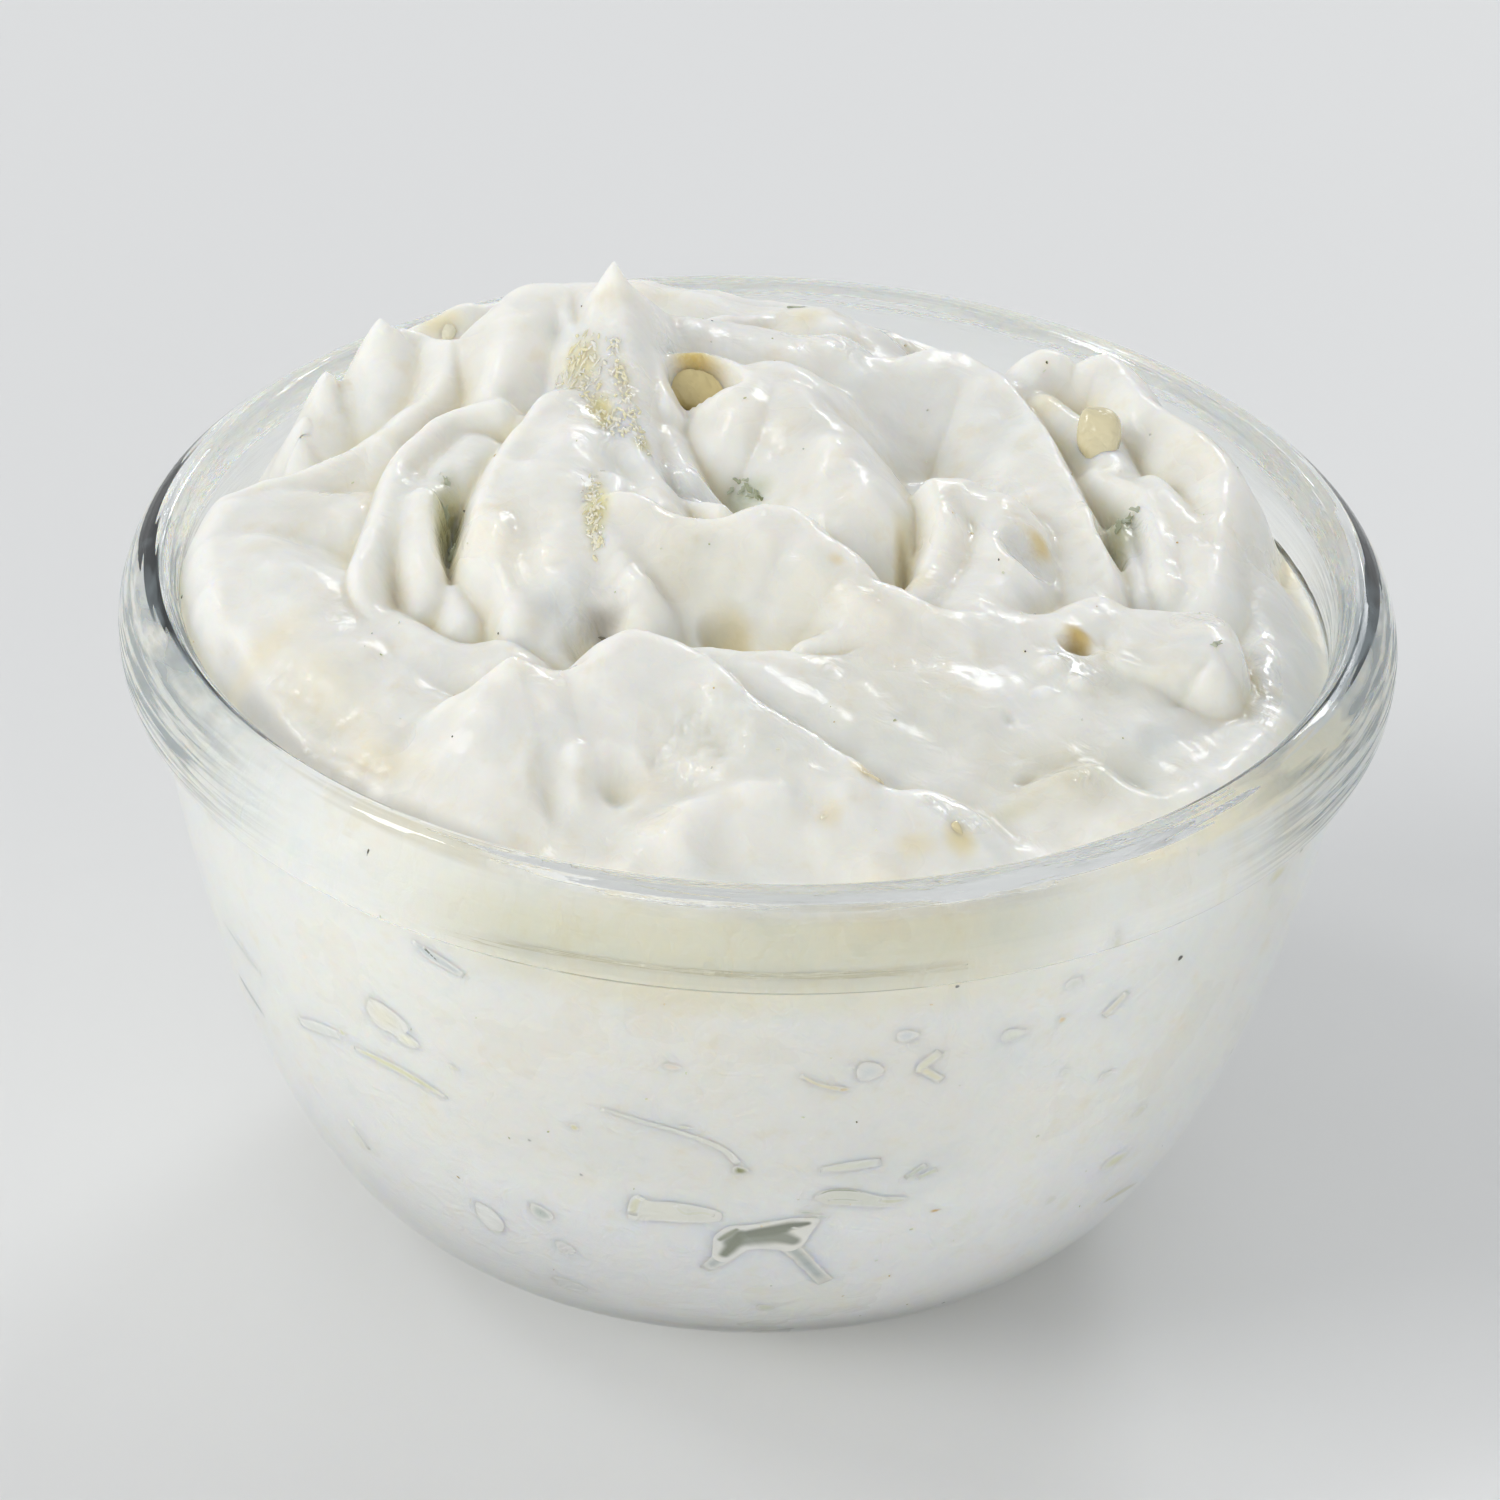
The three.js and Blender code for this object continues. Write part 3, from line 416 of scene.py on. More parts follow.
# crest points x, y, height; width on the right and left of the way along it; the powers of
# the fall on either side (1 sharp, 2 round, more flat-topped); and how far the top leans.
FOLDS = [
    # scalloped rim of the swirl at the back left, and the pleats that hang from it
    ([(-38.5, 14, 60.5), (-37.5, 16, 61.2), (-36.8, 17.5, 64), (-35.3, 18, 62.2), (-33.7, 19, 65.6), (-32.4, 20.5, 68),
      (-31, 21, 67.2), (-28.5, 21.5, 66.6), (-27, 19.5, 67), (-24, 20, 67.5)], (6, 4), (1.5, 1.3), (-1.2, 0.4)),
    ([(-33.2, 20.6, 68.8), (-32.4, 20.6, 68.2)], (3, 2.6), (1.3, 1.3), None),
    ([(-37.6, 17.6, 64.7), (-37, 17.6, 64.1)], (2.8, 2.6), (1.4, 1.4), None),
    ([(-39.2, 15, 61.9), (-38.6, 15.2, 61.5)], (3.2, 2.8), (1.5, 1.5), None),
    ([(-32.4, 20.5, 68), (-33, 21, 65), (-34, 20, 62)], (3, 3), (1.6, 1.6), None),
    ([(-36.8, 17.5, 64), (-37.3, 17, 61.5), (-38, 16.5, 59)], (3, 3), (1.6, 1.6), None),
    ([(-27, 19, 67.3), (-27.5, 15.5, 66), (-30, 12, 64.4), (-32.5, 10, 63.2)], (5, 3.5), (1.6, 1.5), None),
    ([(-32.5, 10, 63.2), (-36.5, 8, 61.8), (-40, 6.5, 60.8), (-45, 4.5, 59.8)], (4, 8), (1.6, 1.4), None),
    ([(-44, 0.5, 60.7), (-39.5, 1.2, 61.3), (-35, 1, 61.5)], (8, 8), (2.2, 2.2), None),
    ([(-30.5, 31, 62), (-27.5, 33, 62.7), (-23.5, 35.5, 62.7)], (5, 4), (1.6, 1.6), None),
    # crown and the pulled-up peak
    ([(-23, 20, 68.7), (-21.5, 22.5, 69.7), (-19, 25, 70), (-13.5, 24.5, 70.5)], (8, 6), (1.8, 1.8), None),
    ([(-22.5, 20.5, 69.3), (-22.5, 16.5, 68.2), (-23, 13, 66.5)], (4, 5), (1.8, 1.6), None),
    ([(-13.5, 22, 74.3), (-13, 21.5, 72.8)], (3, 3), (1.15, 1.15), None),
    ([(-13, 22, 72), (-12.5, 17, 70.3), (-12, 11.5, 68.2), (-11.3, 6, 66.6), (-10, 0.5, 65.8), (-8.5, -4, 65.8)],
     (7, 5), (1.6, 1.6), None),
    ([(-11.5, 21, 70.3), (-10, 17.5, 68.3), (-8.5, 12, 66.4)], (5, 3.5), (1.6, 1.3), None),
    ([(-9.8, 16.8, 67.8), (-8.5, 18.4, 67.5), (-6, 19, 67.3), (-3.5, 18.6, 67.1), (-1.8, 16.5, 67.1)],
     (2, 3.4), (1.3, 1.6), None),
    ([(-9, 24.5, 67), (-3, 25.5, 65.8), (4, 26, 64.6)], (8, 9), (2, 2), None),
    ([(-8.5, 9, 65), (-6.5, 3, 64.3), (-3.5, -1.5, 64.3)], (4, 4), (2, 2), None),
    # curled finger that runs down the left of the heap, and a smaller one beside it
    ([(-22, 11, 66.9), (-26, 10.5, 65.6), (-28.5, 7.5, 65), (-30, 4, 64.4), (-31, -1.5, 63.6), (-32, -8, 63),
      (-32.5, -13, 62), (-31.5, -15, 60.5)], (3.4, 2.8), (1.8, 1.8), (-0.8, 0)),
    ([(-28, -2, 64.5), (-28.2, -5, 63.8), (-27.8, -8, 62.6), (-27.2, -10.5, 61)], (4.4, 2.4), (2.4, 2.6), None),
    ([(-24, 8, 64.6), (-26, 4.5, 64), (-28, 1, 63.2), (-30, -4, 62.4)], (5, 4), (2.8, 2.6), None),
    ([(-25.5, -11, 60.8), (-24.5, -14, 60.4)], (3.4, 3.4), (2, 2), None),
    # wide lobe at the left, with a tip that reaches the rim
    ([(-46, -4.5, 60.3), (-43, -5, 61.2), (-39.5, -8, 61.8), (-36.5, -12.5, 61.5), (-34, -17, 60.9), (-30.5, -21, 60),
      (-27.5, -25, 59.2), (-25, -26, 58.8)], (15, 12), (1.5, 1.3), None),
    ([(-31, -16, 60.3), (-26, -20, 60.3), (-21, -21, 60.8)], (7, 7), (2, 2), None),
    ([(-48, -11.5, 57.8), (-45.5, -11, 59.8), (-41, -10, 61.2)], (7, 7), (1.5, 1.5), (-0.8, 0)),
    # middle of the heap
    ([(-19, 10, 67.5), (-22.5, 1, 66.3), (-23.5, -6, 65.5), (-21, -13.5, 62)], (3, 12), (1.5, 1.9), None),
    ([(-17, 4.5, 67.5), (-17, -2.5, 66.8), (-15.5, -8.5, 65.5)], (8, 8), (2, 2), None),
    ([(-12.5, -1, 66.2), (-13.3, -4, 66.3), (-13.5, -7.5, 66), (-9.5, -14, 63)], (5, 5), (1.9, 1.7), None),
    ([(-12, -5, 66.9), (-9.5, -5.5, 66.6), (-5, -7, 65.9), (-1.5, -6.5, 66.2), (0, -5.5, 67.1)], (8, 3.5), (2, 1.2),
     None),
    ([(0, -5.5, 67.1), (3, -6, 66.5), (4.5, -8, 65.9), (7.5, -9.5, 65), (8.5, -11.5, 64.3), (11, -12, 63.5),
      (14, -13, 62.3), (17, -12.5, 61.5)], (8, 4), (2, 1.2), None),
    ([(-2.5, 14, 67.3), (0.5, 17.5, 67.5), (2.5, 13, 67), (6, 7, 66.3), (8, 2, 65.3)], (9, 6.5), (2, 1.6), None),
    # front lump, from its left flank to its tail at the front right, and its toe
    ([(-26.5, -31, 59), (-25, -29.5, 60.8), (-20, -27, 63.2)], (7, 5), (1.5, 1.3), None),
    ([(-20, -27, 63.4), (-20.3, -29, 61.5), (-21, -31.5, 59), (-22.3, -35.5, 56.6), (-22.5, -39, 55)],
     (5, 4), (1.4, 1.25), None),
    ([(-20, -27, 63.4), (-16, -26, 62.4), (-13, -25, 63.2), (-10.5, -22.5, 64.2), (-6.5, -23, 63.9), (-4, -24.5, 63.3),
      (-1.5, -27.5, 62.4), (3, -30.5, 61), (8, -33.5, 59.4), (11, -36, 58.3), (14.5, -35.5, 57.6), (17.5, -36.5, 56.7),
      (19, -38.5, 55.5)], (12, 3), (1.7, 1.2), None),
    ([(-9, -43.5, 55.6), (-6, -41, 57.9), (-2.5, -38.5, 58.6), (2, -37.5, 58.8)], (6, 7), (1.6, 1.6), None),
    # smooth spooned slope at the right, with low lumps on it
    ([(-3.5, -20.5, 62), (6, -19.5, 60.9), (13.5, -15, 60.7), (25, -13, 59.3)], (20, 3.5), (1.35, 1.2), None),
    ([(4, -17.5, 61.2), (7, -16.3, 61.7), (11, -15.3, 61.3)], (4, 3), (2, 1.8), None),
    ([(21, -33, 55), (23, -31.5, 56), (25.5, -30.3, 56.5), (28.5, -29.3, 56.4), (31, -30.5, 55.4)],
     (8, 4.5), (2, 1.9), None),
    ([(14, 4, 63.9), (15, -1.5, 63.2), (12.5, -11, 61.4)], (3.2, 5), (1.6, 1.9), None),
    ([(16.5, 5, 63.5), (19.5, 3.5, 63), (20, -2, 62.2), (17.5, -10.5, 61.2)], (7, 6), (2, 2), None),
    ([(19, -11.5, 60.8), (24, -11.5, 60.8), (28.5, -8, 60.3)], (6, 6), (1.9, 1.9), None),
    # upper plateau, whose edge turns and runs down to the right
    ([(4.5, 24.5, 63), (11.5, 28.5, 62.5), (16.5, 30, 62.3), (21, 25.5, 61.7), (26, 12, 61), (29.5, -0.5, 59),
      (30, -3, 58)], (12, 3.2), (1.8, 1.1), None),
    # lobes and the block at the right
    ([(24, 25.5, 60.6), (28, 22, 59.6), (29.5, 16.5, 59.6)], (4.5, 5), (1.9, 1.9), None),
    ([(21.5, 28.5, 59.8), (23.5, 32, 61.7), (26, 31, 60), (29.5, 32, 61.4), (32, 27, 60.4), (35.5, 22.5, 60.2),
      (38.5, 18, 60), (39, 11.5, 59.2), (38.5, 5.5, 58.4), (38, -0.5, 58)], (6, 4.5), (1.7, 1.8), None),
    ([(28.5, 15.5, 59.6), (32, 12.5, 59.4), (33.3, 7.5, 58.9), (34, 0.5, 58.1)], (3.6, 5), (1.6, 1.9), None),
    ([(33, 15, 59.3), (36, 8, 58.7), (37, 1, 58)], (4, 4), (2.2, 2.2), None),
    ([(30.5, 9, 57.9), (31.5, 4, 57.3), (32, -1, 57)], (3, 3), (2, 2), None),
    ([(40, 8, 56.2), (42, 0, 54.9), (43, -10, 54)], (6, 6), (1.9, 1.7), None),
    ([(31.6, -8.6, 59.7), (37, -9, 59.6)], (4.2, 4.2), (3.4, 3.4), (0, -1)),
    ([(31.4, -11.2, 59.5), (37.2, -11.4, 59.3)], (4.4, 4.4), (3.6, 3.6), (0, -1)),
    ([(31, -14, 59.1), (36.8, -14, 58.8)], (4, 4), (3.4, 3.4), (0, -1)),
    ([(28, -34, 55.2), (35.5, -29, 55), (40, -22.5, 54.8), (42.5, -14.5, 54.4)], (6, 9), (2.1, 1.8), None),
    # back of the heap
    ([(-10.5, 40.5, 61.8), (-1, 37.5, 61.5), (5, 35.5, 62.2), (8.5, 32, 61.2)], (12, 8), (1.6, 1.7), None),
    ([(-30, 34, 59.5), (-14, 42, 60.5), (4, 41, 60), (16, 37, 57.6), (30, 29, 55.7)], (4, 3.8), (1.7, 1.6), None),
    ([(16, 42.5, 54.2), (20, 40.5, 54), (24, 38, 54)], (3, 5), (2, 2), None),
    ([(-20, 31, 64), (-16, 37, 62.5), (-17, 43, 60)], (3.5, 3.5), (1.6, 1.6), None),
    ([(-5, 31, 64), (0, 37, 61.5), (3, 43, 59)], (4, 4), (1.6, 1.6), None),
]

# hollows: middle, half sizes, turn in degrees, depth, and the share of the radius that slopes.
# One with a depth below 0 is a low bump.
HOLLOWS = [
    ((-5.4, 16.1), (3.5, 2.5), -18, 6.5, 0.5), ((-5, 1), (6.5, 1.9), -28, 1.4, 0.9),
    ((-1.5, -1), (2.2, 1.5), -20, 2.5, 0.7), ((-26, -3.8), (1.9, 5.5), 0, 1.2, 0.9),
    ((-16.4, 21.5), (1.2, 3.2), 10, 1.1, 1), ((-13, -17.5), (4.5, 2.4), -5, 2, 0.9),
    ((-12.8, -18), (1.4, 0.9), 0, 2.4, 0.7),
    ((-2.5, -15.5), (3.2, 1.6), -25, 2.5, 0.7), ((12, -4), (1, 4.2), 8, 1.6, 0.9),
    ((22.5, -1.5), (3.2, 3.4), 0, 1.4, 0.9), ((29.5, 5.5), (1.8, 3.5), 10, 2.5, 0.8),
    ((-5, -32), (5, 4.5), 0, 0.6, 0.8), ((-10.8, -35.8), (2.6, 3), 20, 1.5, 0.9),
    ((-16.5, -37), (2.4, 3.6), 15, 1, 0.9),
    ((-43.5, -19), (5.5, 1.1), -66, 0.6, 0.9), ((-36, -27), (9, 2.6), -40, 0.7, 0.9),
    ((-33, -32), (5, 0.9), -38, 0.35, 0.9), ((26.5, -13.5), (2, 1.2), -20, 2, 0.7),
    ((36, -16), (0.8, 3.6), -35, 0.5, 0.8),
    ((24.5, -16.5), (1.9, 1.3), 30, -0.6, 1), ((26.8, -18.6), (1.7, 1.2), -20, -0.6, 1),
    ((23.8, -20), (1.5, 1.1), 10, -0.5, 1), ((21, -23.5), (0.9, 1.1), 0, 0.4, 0.9),
    ((22.5, -30), (1.6, 0.8), 30, 0.5, 0.9),
    ((-14.3, -34.6), (1.7, 1.9), 0, -0.8, 0.95), ((5.5, 5), (2.6, 3.2), 0, -0.5, 1),
    ((-20.5, -0.5), (2.2, 2.6), 0, -0.5, 1),
    ((-22, -8), (1.6, 3), 0, -0.4, 1), ((-16.5, -13.5), (2.4, 1.6), 0, -0.6, 1), ((-10, -13.5), (2.4, 1.8), 0, -0.5, 1),
    ((13.5, 27), (2, 2), 0, -0.4, 1), ((18, 25), (1.6, 2.4), 0, -0.3, 1), ((5.5, 34), (2.6, 2.2), 0, -0.6, 1),
]
print(len(FOLDS), "folds and", len(HOLLOWS), "hollows")

# %% [markdown]
# The crest is made a smooth curve by the Catmull-Rom rule. For each short piece of it the
# nearest place is found for all points at once, which numpy does quickly on whole arrays.


# %% Height of the folds
def smooth_curve(points, steps=6):
    """Points of a centripetal Catmull-Rom curve through the given ones."""
    p = np.array(points, float)
    p = np.vstack([2 * p[0] - p[1], p, 2 * p[-1] - p[-2]])
    gaps = np.maximum(np.linalg.norm(np.diff(p, axis=0), axis=1) ** 0.5, 1e-6)
    curve = []
    for i in range(1, len(p) - 2):
        d0, d1, d2 = gaps[i - 1], gaps[i], gaps[i + 1]
        m1 = (p[i] - p[i - 1]) / d0 - (p[i + 1] - p[i - 1]) / (d0 + d1) + (p[i + 1] - p[i]) / d1
        m2 = (p[i + 1] - p[i]) / d1 - (p[i + 2] - p[i]) / (d1 + d2) + (p[i + 2] - p[i + 1]) / d2
        t = (np.arange(steps) / steps)[:, None]
        curve.append((2 * t**3 - 3 * t**2 + 1) * p[i] + (t**3 - 2 * t**2 + t) * m1 * d1
                     + (3 * t**2 - 2 * t**3) * p[i + 1] + (t**3 - t**2) * m2 * d1)
    return np.vstack(curve + [p[-2:-1]])


def fold_height(x, y, crest, widths, powers):
    """Height of one fold over points, and how far off its crest they are, in widths."""
    height = np.full(x.shape, -np.inf)
    away = np.full(x.shape, np.inf)
    curve = smooth_curve(crest)
    for start, end in zip(curve[:-1], curve[1:]):
        step = end - start
        length = math.hypot(step[0], step[1]) + 1e-9
        t = np.clip(((x - start[0]) * step[0] + (y - start[1]) * step[1]) / length**2, 0, 1)
        ex, ey = x - start[0] - t * step[0], y - start[1] - t * step[1]
        distance = np.hypot(ex, ey)
        side = (ex * step[1] - ey * step[0]) / (length * (distance + 1e-9))
        near = 0.5 + 0.5 * np.clip(1.5 * side, -1, 1)
        here = distance / (widths[1] + (widths[0] - widths[1]) * near)
        z = start[2] + t * step[2] - FALL * here ** (powers[1] + (powers[0] - powers[1]) * near)
        better = z > height
        height = np.where(better, z, height)
        away = np.where(better, here, away)
    return height, away


def hollow_depth(x, y, middle, size, turn_degrees, depth, slope):
    """Depth of one hollow under points."""
    angle = math.radians(turn_degrees)
    dx, dy = x - middle[0], y - middle[1]
    u = (dx * math.cos(angle) + dy * math.sin(angle)) / size[0]
    v = (dy * math.cos(angle) - dx * math.sin(angle)) / size[1]
    return depth * ease((1 - np.hypot(u, v)) / slope)


print("crest of the first fold has", len(smooth_curve(FOLDS[0][0])), "points")

# %% [markdown]
# Yoghurt with grated cucumber in it is never quite smooth. Two small unevennesses are
# laid over the folds: slow swells, and fine lumps, which come from a grid of
# random heights with a fixed seed, read between its points by the smooth step.


# %% The whole surface
LUMP_LAYERS = [(5.5, 0.34, 4), (2.6, 0.18, 11), (1.2, 0.06, 9)]
CRUMBLY_PATCH = ((-4.5, -32.5), (6.5, 6.0), 20, 1.0, 0.7)


def lumps(x, y, size, seed):
    """Smooth random heights, about -1 to 1, with lumps of the given size."""
    grid = np.random.default_rng(seed).uniform(-1, 1, (128, 128))
    u, v = x / size + 64, y / size + 64
    i, j = np.floor(u).astype(int), np.floor(v).astype(int)
    fu, fv = ease(u - i), ease(v - j)
    i, j = i % 127, j % 127
    low = grid[i, j] * (1 - fu) + grid[i + 1, j] * fu
    high = grid[i, j + 1] * (1 - fu) + grid[i + 1, j + 1] * fu
    return low * (1 - fv) + high * fv


def contact_height(angle):
    """Height at which the dip meets the glass, by direction in radians."""
    table = np.array(CONTACT_HEIGHTS, float)
    return np.interp(np.degrees(angle) % 360, table[:, 0], table[:, 1])


def wall_line(inset):
    """Radius and height up the bowl's inner face, moved in by an inset along its normal."""
    shares = np.linspace(0, 1, 200)
    curve = bezier(INNER_WALL, shares)
    step = np.gradient(curve, axis=0)
    step /= np.linalg.norm(step, axis=1)[:, None]
    curve = curve + inset * np.stack([-step[:, 1], step[:, 0]], 1)
    rim = rim_arc(180, 110, 30) - [inset, 0]
    return np.vstack([curve[curve[:, 1] < rim[0, 1]], rim])


def wall_radius(height, inset):
    """Radius of the bowl's inner face at a height, less an inset along its normal."""
    line = wall_line(inset)
    return np.interp(height, line[:, 1], line[:, 0])


def heap(x, y, edge_radius, edge_height):
    """Points of the dip's upper surface over x, y, and how deep each lies in a crease."""
    radius = np.hypot(x, y)
    mound = edge_height + (CENTRE_HEIGHT - edge_height) * np.clip(1 - (radius / edge_radius) ** 2, 0, 1)
    found = [fold_height(x, y, crest, widths, powers) for crest, widths, powers, lean in FOLDS]
    heights = np.stack([mound] + [h for h, away in found])
    highest = heights.max(0)
    weights = np.exp((heights - highest) / VALLEY_ROUNDING)
    total = weights.sum(0)
    z = highest + VALLEY_ROUNDING * np.log(total)
    px, py = x.copy(), y.copy()
    for (h, away), weight, (crest, widths, powers, lean) in zip(found, weights[1:], FOLDS):
        if lean:
            share = ease(1 - away) * weight / total
            px += lean[0] * share
            py += lean[1] * share
    z += 0.1 * np.sin(0.83 * x + 0.31 * y + 1.2 * np.sin(0.42 * y))
    z += 0.1 * np.sin(0.52 * y - 0.66 * x + 2.1 + 1.1 * np.sin(0.5 * x))
    z += 0.06 * np.sin(1.3 * y + 0.9 * x + 0.7)
    for size, depth, seed in LUMP_LAYERS:
        z += depth * lumps(x, y, size, seed)
    crumbly = hollow_depth(x, y, *CRUMBLY_PATCH)
    z += crumbly * (0.34 * lumps(x, y, 1.25, 21) + 0.2 * abs(lumps(x, y, 0.7, 22)))
    for hollow in HOLLOWS:
        z -= hollow_depth(x, y, *hollow)
    inward = np.clip((edge_radius - radius) / MENISCUS, 0, 1)
    z = edge_height + (z - edge_height) * np.sqrt(inward * (2 - inward))
    return px, py, z


print("peak of the heap", round(float(heap(np.array([-13.5]), np.array([22.5]), 48.0, 54.0)[2][0]), 1), "mm up")

# %% [markdown]
# ## The dip's mesh
#
# The top is a square grid spread over a disc, so that its faces stay alike from the middle
# to the edge. From its edge, rows of points follow the glass down to the floor. The side
# reaches a little way into the wall: seen through the glass, yoghurt that touches it has
# no bright skin of air in front of it.

# %% Make the dip
TOP_CELLS = 270
SIDE_ROWS = 24
INTO_GLASS = 0.15


def disc_grid(cells):
    """Radius, 0 to 1, and angle of a square grid spread over a disc."""
    line = np.linspace(-1, 1, cells + 1)
    u, v = np.meshgrid(line, line)
    reach = np.maximum(abs(u), abs(v))
    safe_u, safe_v = np.where(u == 0, 1, u), np.where(v == 0, 1, v)
    by_u = np.where(u > 0, 0, np.pi) + np.pi / 4 * v / safe_u
    by_v = np.where(v > 0, np.pi / 2, -np.pi / 2) - np.pi / 4 * u / safe_v
    return reach, np.where(abs(u) > abs(v), by_u, by_v)


def dip_mesh():
    """Points and faces of the dip, closed, with its top grid first."""
    reach, angle = disc_grid(TOP_CELLS)
    edge_height = contact_height(angle)
    edge_radius = wall_radius(edge_height, -INTO_GLASS)
    x, y, z = heap(reach * edge_radius * np.cos(angle), reach * edge_radius * np.sin(angle), edge_radius, edge_height)
    limit = np.where(reach > 0.999, edge_radius, wall_radius(z, 0.1))
    pull = np.minimum(1, limit / np.maximum(np.hypot(x, y), 1e-9))
    points = np.stack([x * pull, y * pull, z], -1).reshape(-1, 3)
    index = np.arange(len(points)).reshape(TOP_CELLS + 1, TOP_CELLS + 1)
    a, b, c, d = (part.ravel() for part in (index[:-1, :-1], index[:-1, 1:], index[1:, 1:], index[1:, :-1]))
    even = np.linalg.norm(points[a] - points[c], axis=1) < np.linalg.norm(points[b] - points[d], axis=1)
    first = np.where(even[:, None], np.stack([a, b, c], 1), np.stack([a, b, d], 1))
    second = np.where(even[:, None], np.stack([a, c, d], 1), np.stack([b, c, d], 1))
    ring = np.concatenate([index[0, :-1], index[:-1, -1], index[-1, :0:-1], index[:0:-1, 0]])
    faces = [first, second]
    direction = points[ring, :2] / np.linalg.norm(points[ring, :2], axis=1)[:, None]
    top = points[ring, 2]
    rows = []
    floor = FLOOR_TOP - INTO_GLASS
    wall = wall_line(-INTO_GLASS)
    distance = np.concatenate([[0], np.cumsum(np.linalg.norm(np.diff(wall, axis=0), axis=1))])
    top_distance = np.interp(top, wall[:, 1], distance)
    for share in np.linspace(0, 1, SIDE_ROWS + 1)[1:]:
        height = np.interp(top_distance * (1 - share**1.25), distance, wall[:, 1])
        radius = wall_radius(height, -INTO_GLASS)
        rows.append(np.column_stack([direction * radius[:, None], height]))
    number = len(points)
    upper = ring
    for _ in rows:
        lower = number + np.arange(len(ring))
        faces.append(np.stack([upper, lower, np.roll(lower, -1)], 1))
        faces.append(np.stack([upper, np.roll(lower, -1), np.roll(upper, -1)], 1))
        upper, number = lower, number + len(ring)
    points = np.vstack([points, *rows, [0, 0, floor]])
    faces.append(np.stack([upper, np.full(len(ring), number), np.roll(upper, -1)], 1))
    return points, np.vstack(faces)


dip_points, dip_faces = dip_mesh()
print("dip has", len(dip_faces), "triangles and is", round(float(dip_points[:, 2].max()), 1), "mm high")

# %% [markdown]
# ## Where the dip is white, tinted, wet, or painted with light and shade
#
# Strained yoghurt is white on its ridges. Its creases are painted a warm cream, painted
# shade for the light that has gone through more of it there, and its thin crests get a
# painted highlight. Near a bit of cucumber it takes on its green or yellow, and whey
# gathers in hollows and leaves them glassier. The list of tints also holds painted shade on
# faces turned from the lamps, a painted highlight on the crown and painted bluish
# reflections on wet spots. Against the wall its tone goes in bands of painted light and
# shade: lighter low down, and in front a creamier and a darker one behind the rim, for the
# light that the rim's glass bends. A painter would brush this on as vertex colour. Here the
# same layers are worked out: how far a point lies below its surroundings gives the cream,
# and a short list of places gives the tints, the painted light and the wet spots.

# %% Tones of the dip
WHITE = np.array([0.845, 0.841, 0.797])
# painted shade: the warm cream that the creases are painted
CREASE_PAINTED_CREAM = np.array([0.852, 0.806, 0.640])
# tones of the dip against the wall: all but the plain wall white are painted light and shade, see the bands below
WALL_WHITE = np.array([0.925, 0.925, 0.895])
LOW_WALL_PAINTED_LIGHT = np.array([0.98, 0.976, 0.945])
FRONT_WALL_PAINTED_SHADE = np.array([0.862, 0.857, 0.83])
RIM_BAND_PAINTED_SHADE = np.array([0.83, 0.835, 0.81])
FRONT_RIM_PAINTED_SHADE = np.array([0.70, 0.705, 0.675])
FRONT_RIM_PAINTED_CREAM = np.array([0.715, 0.70, 0.58])
UNDER_RIM_PAINTED_CREAM = np.array([0.84, 0.82, 0.72])
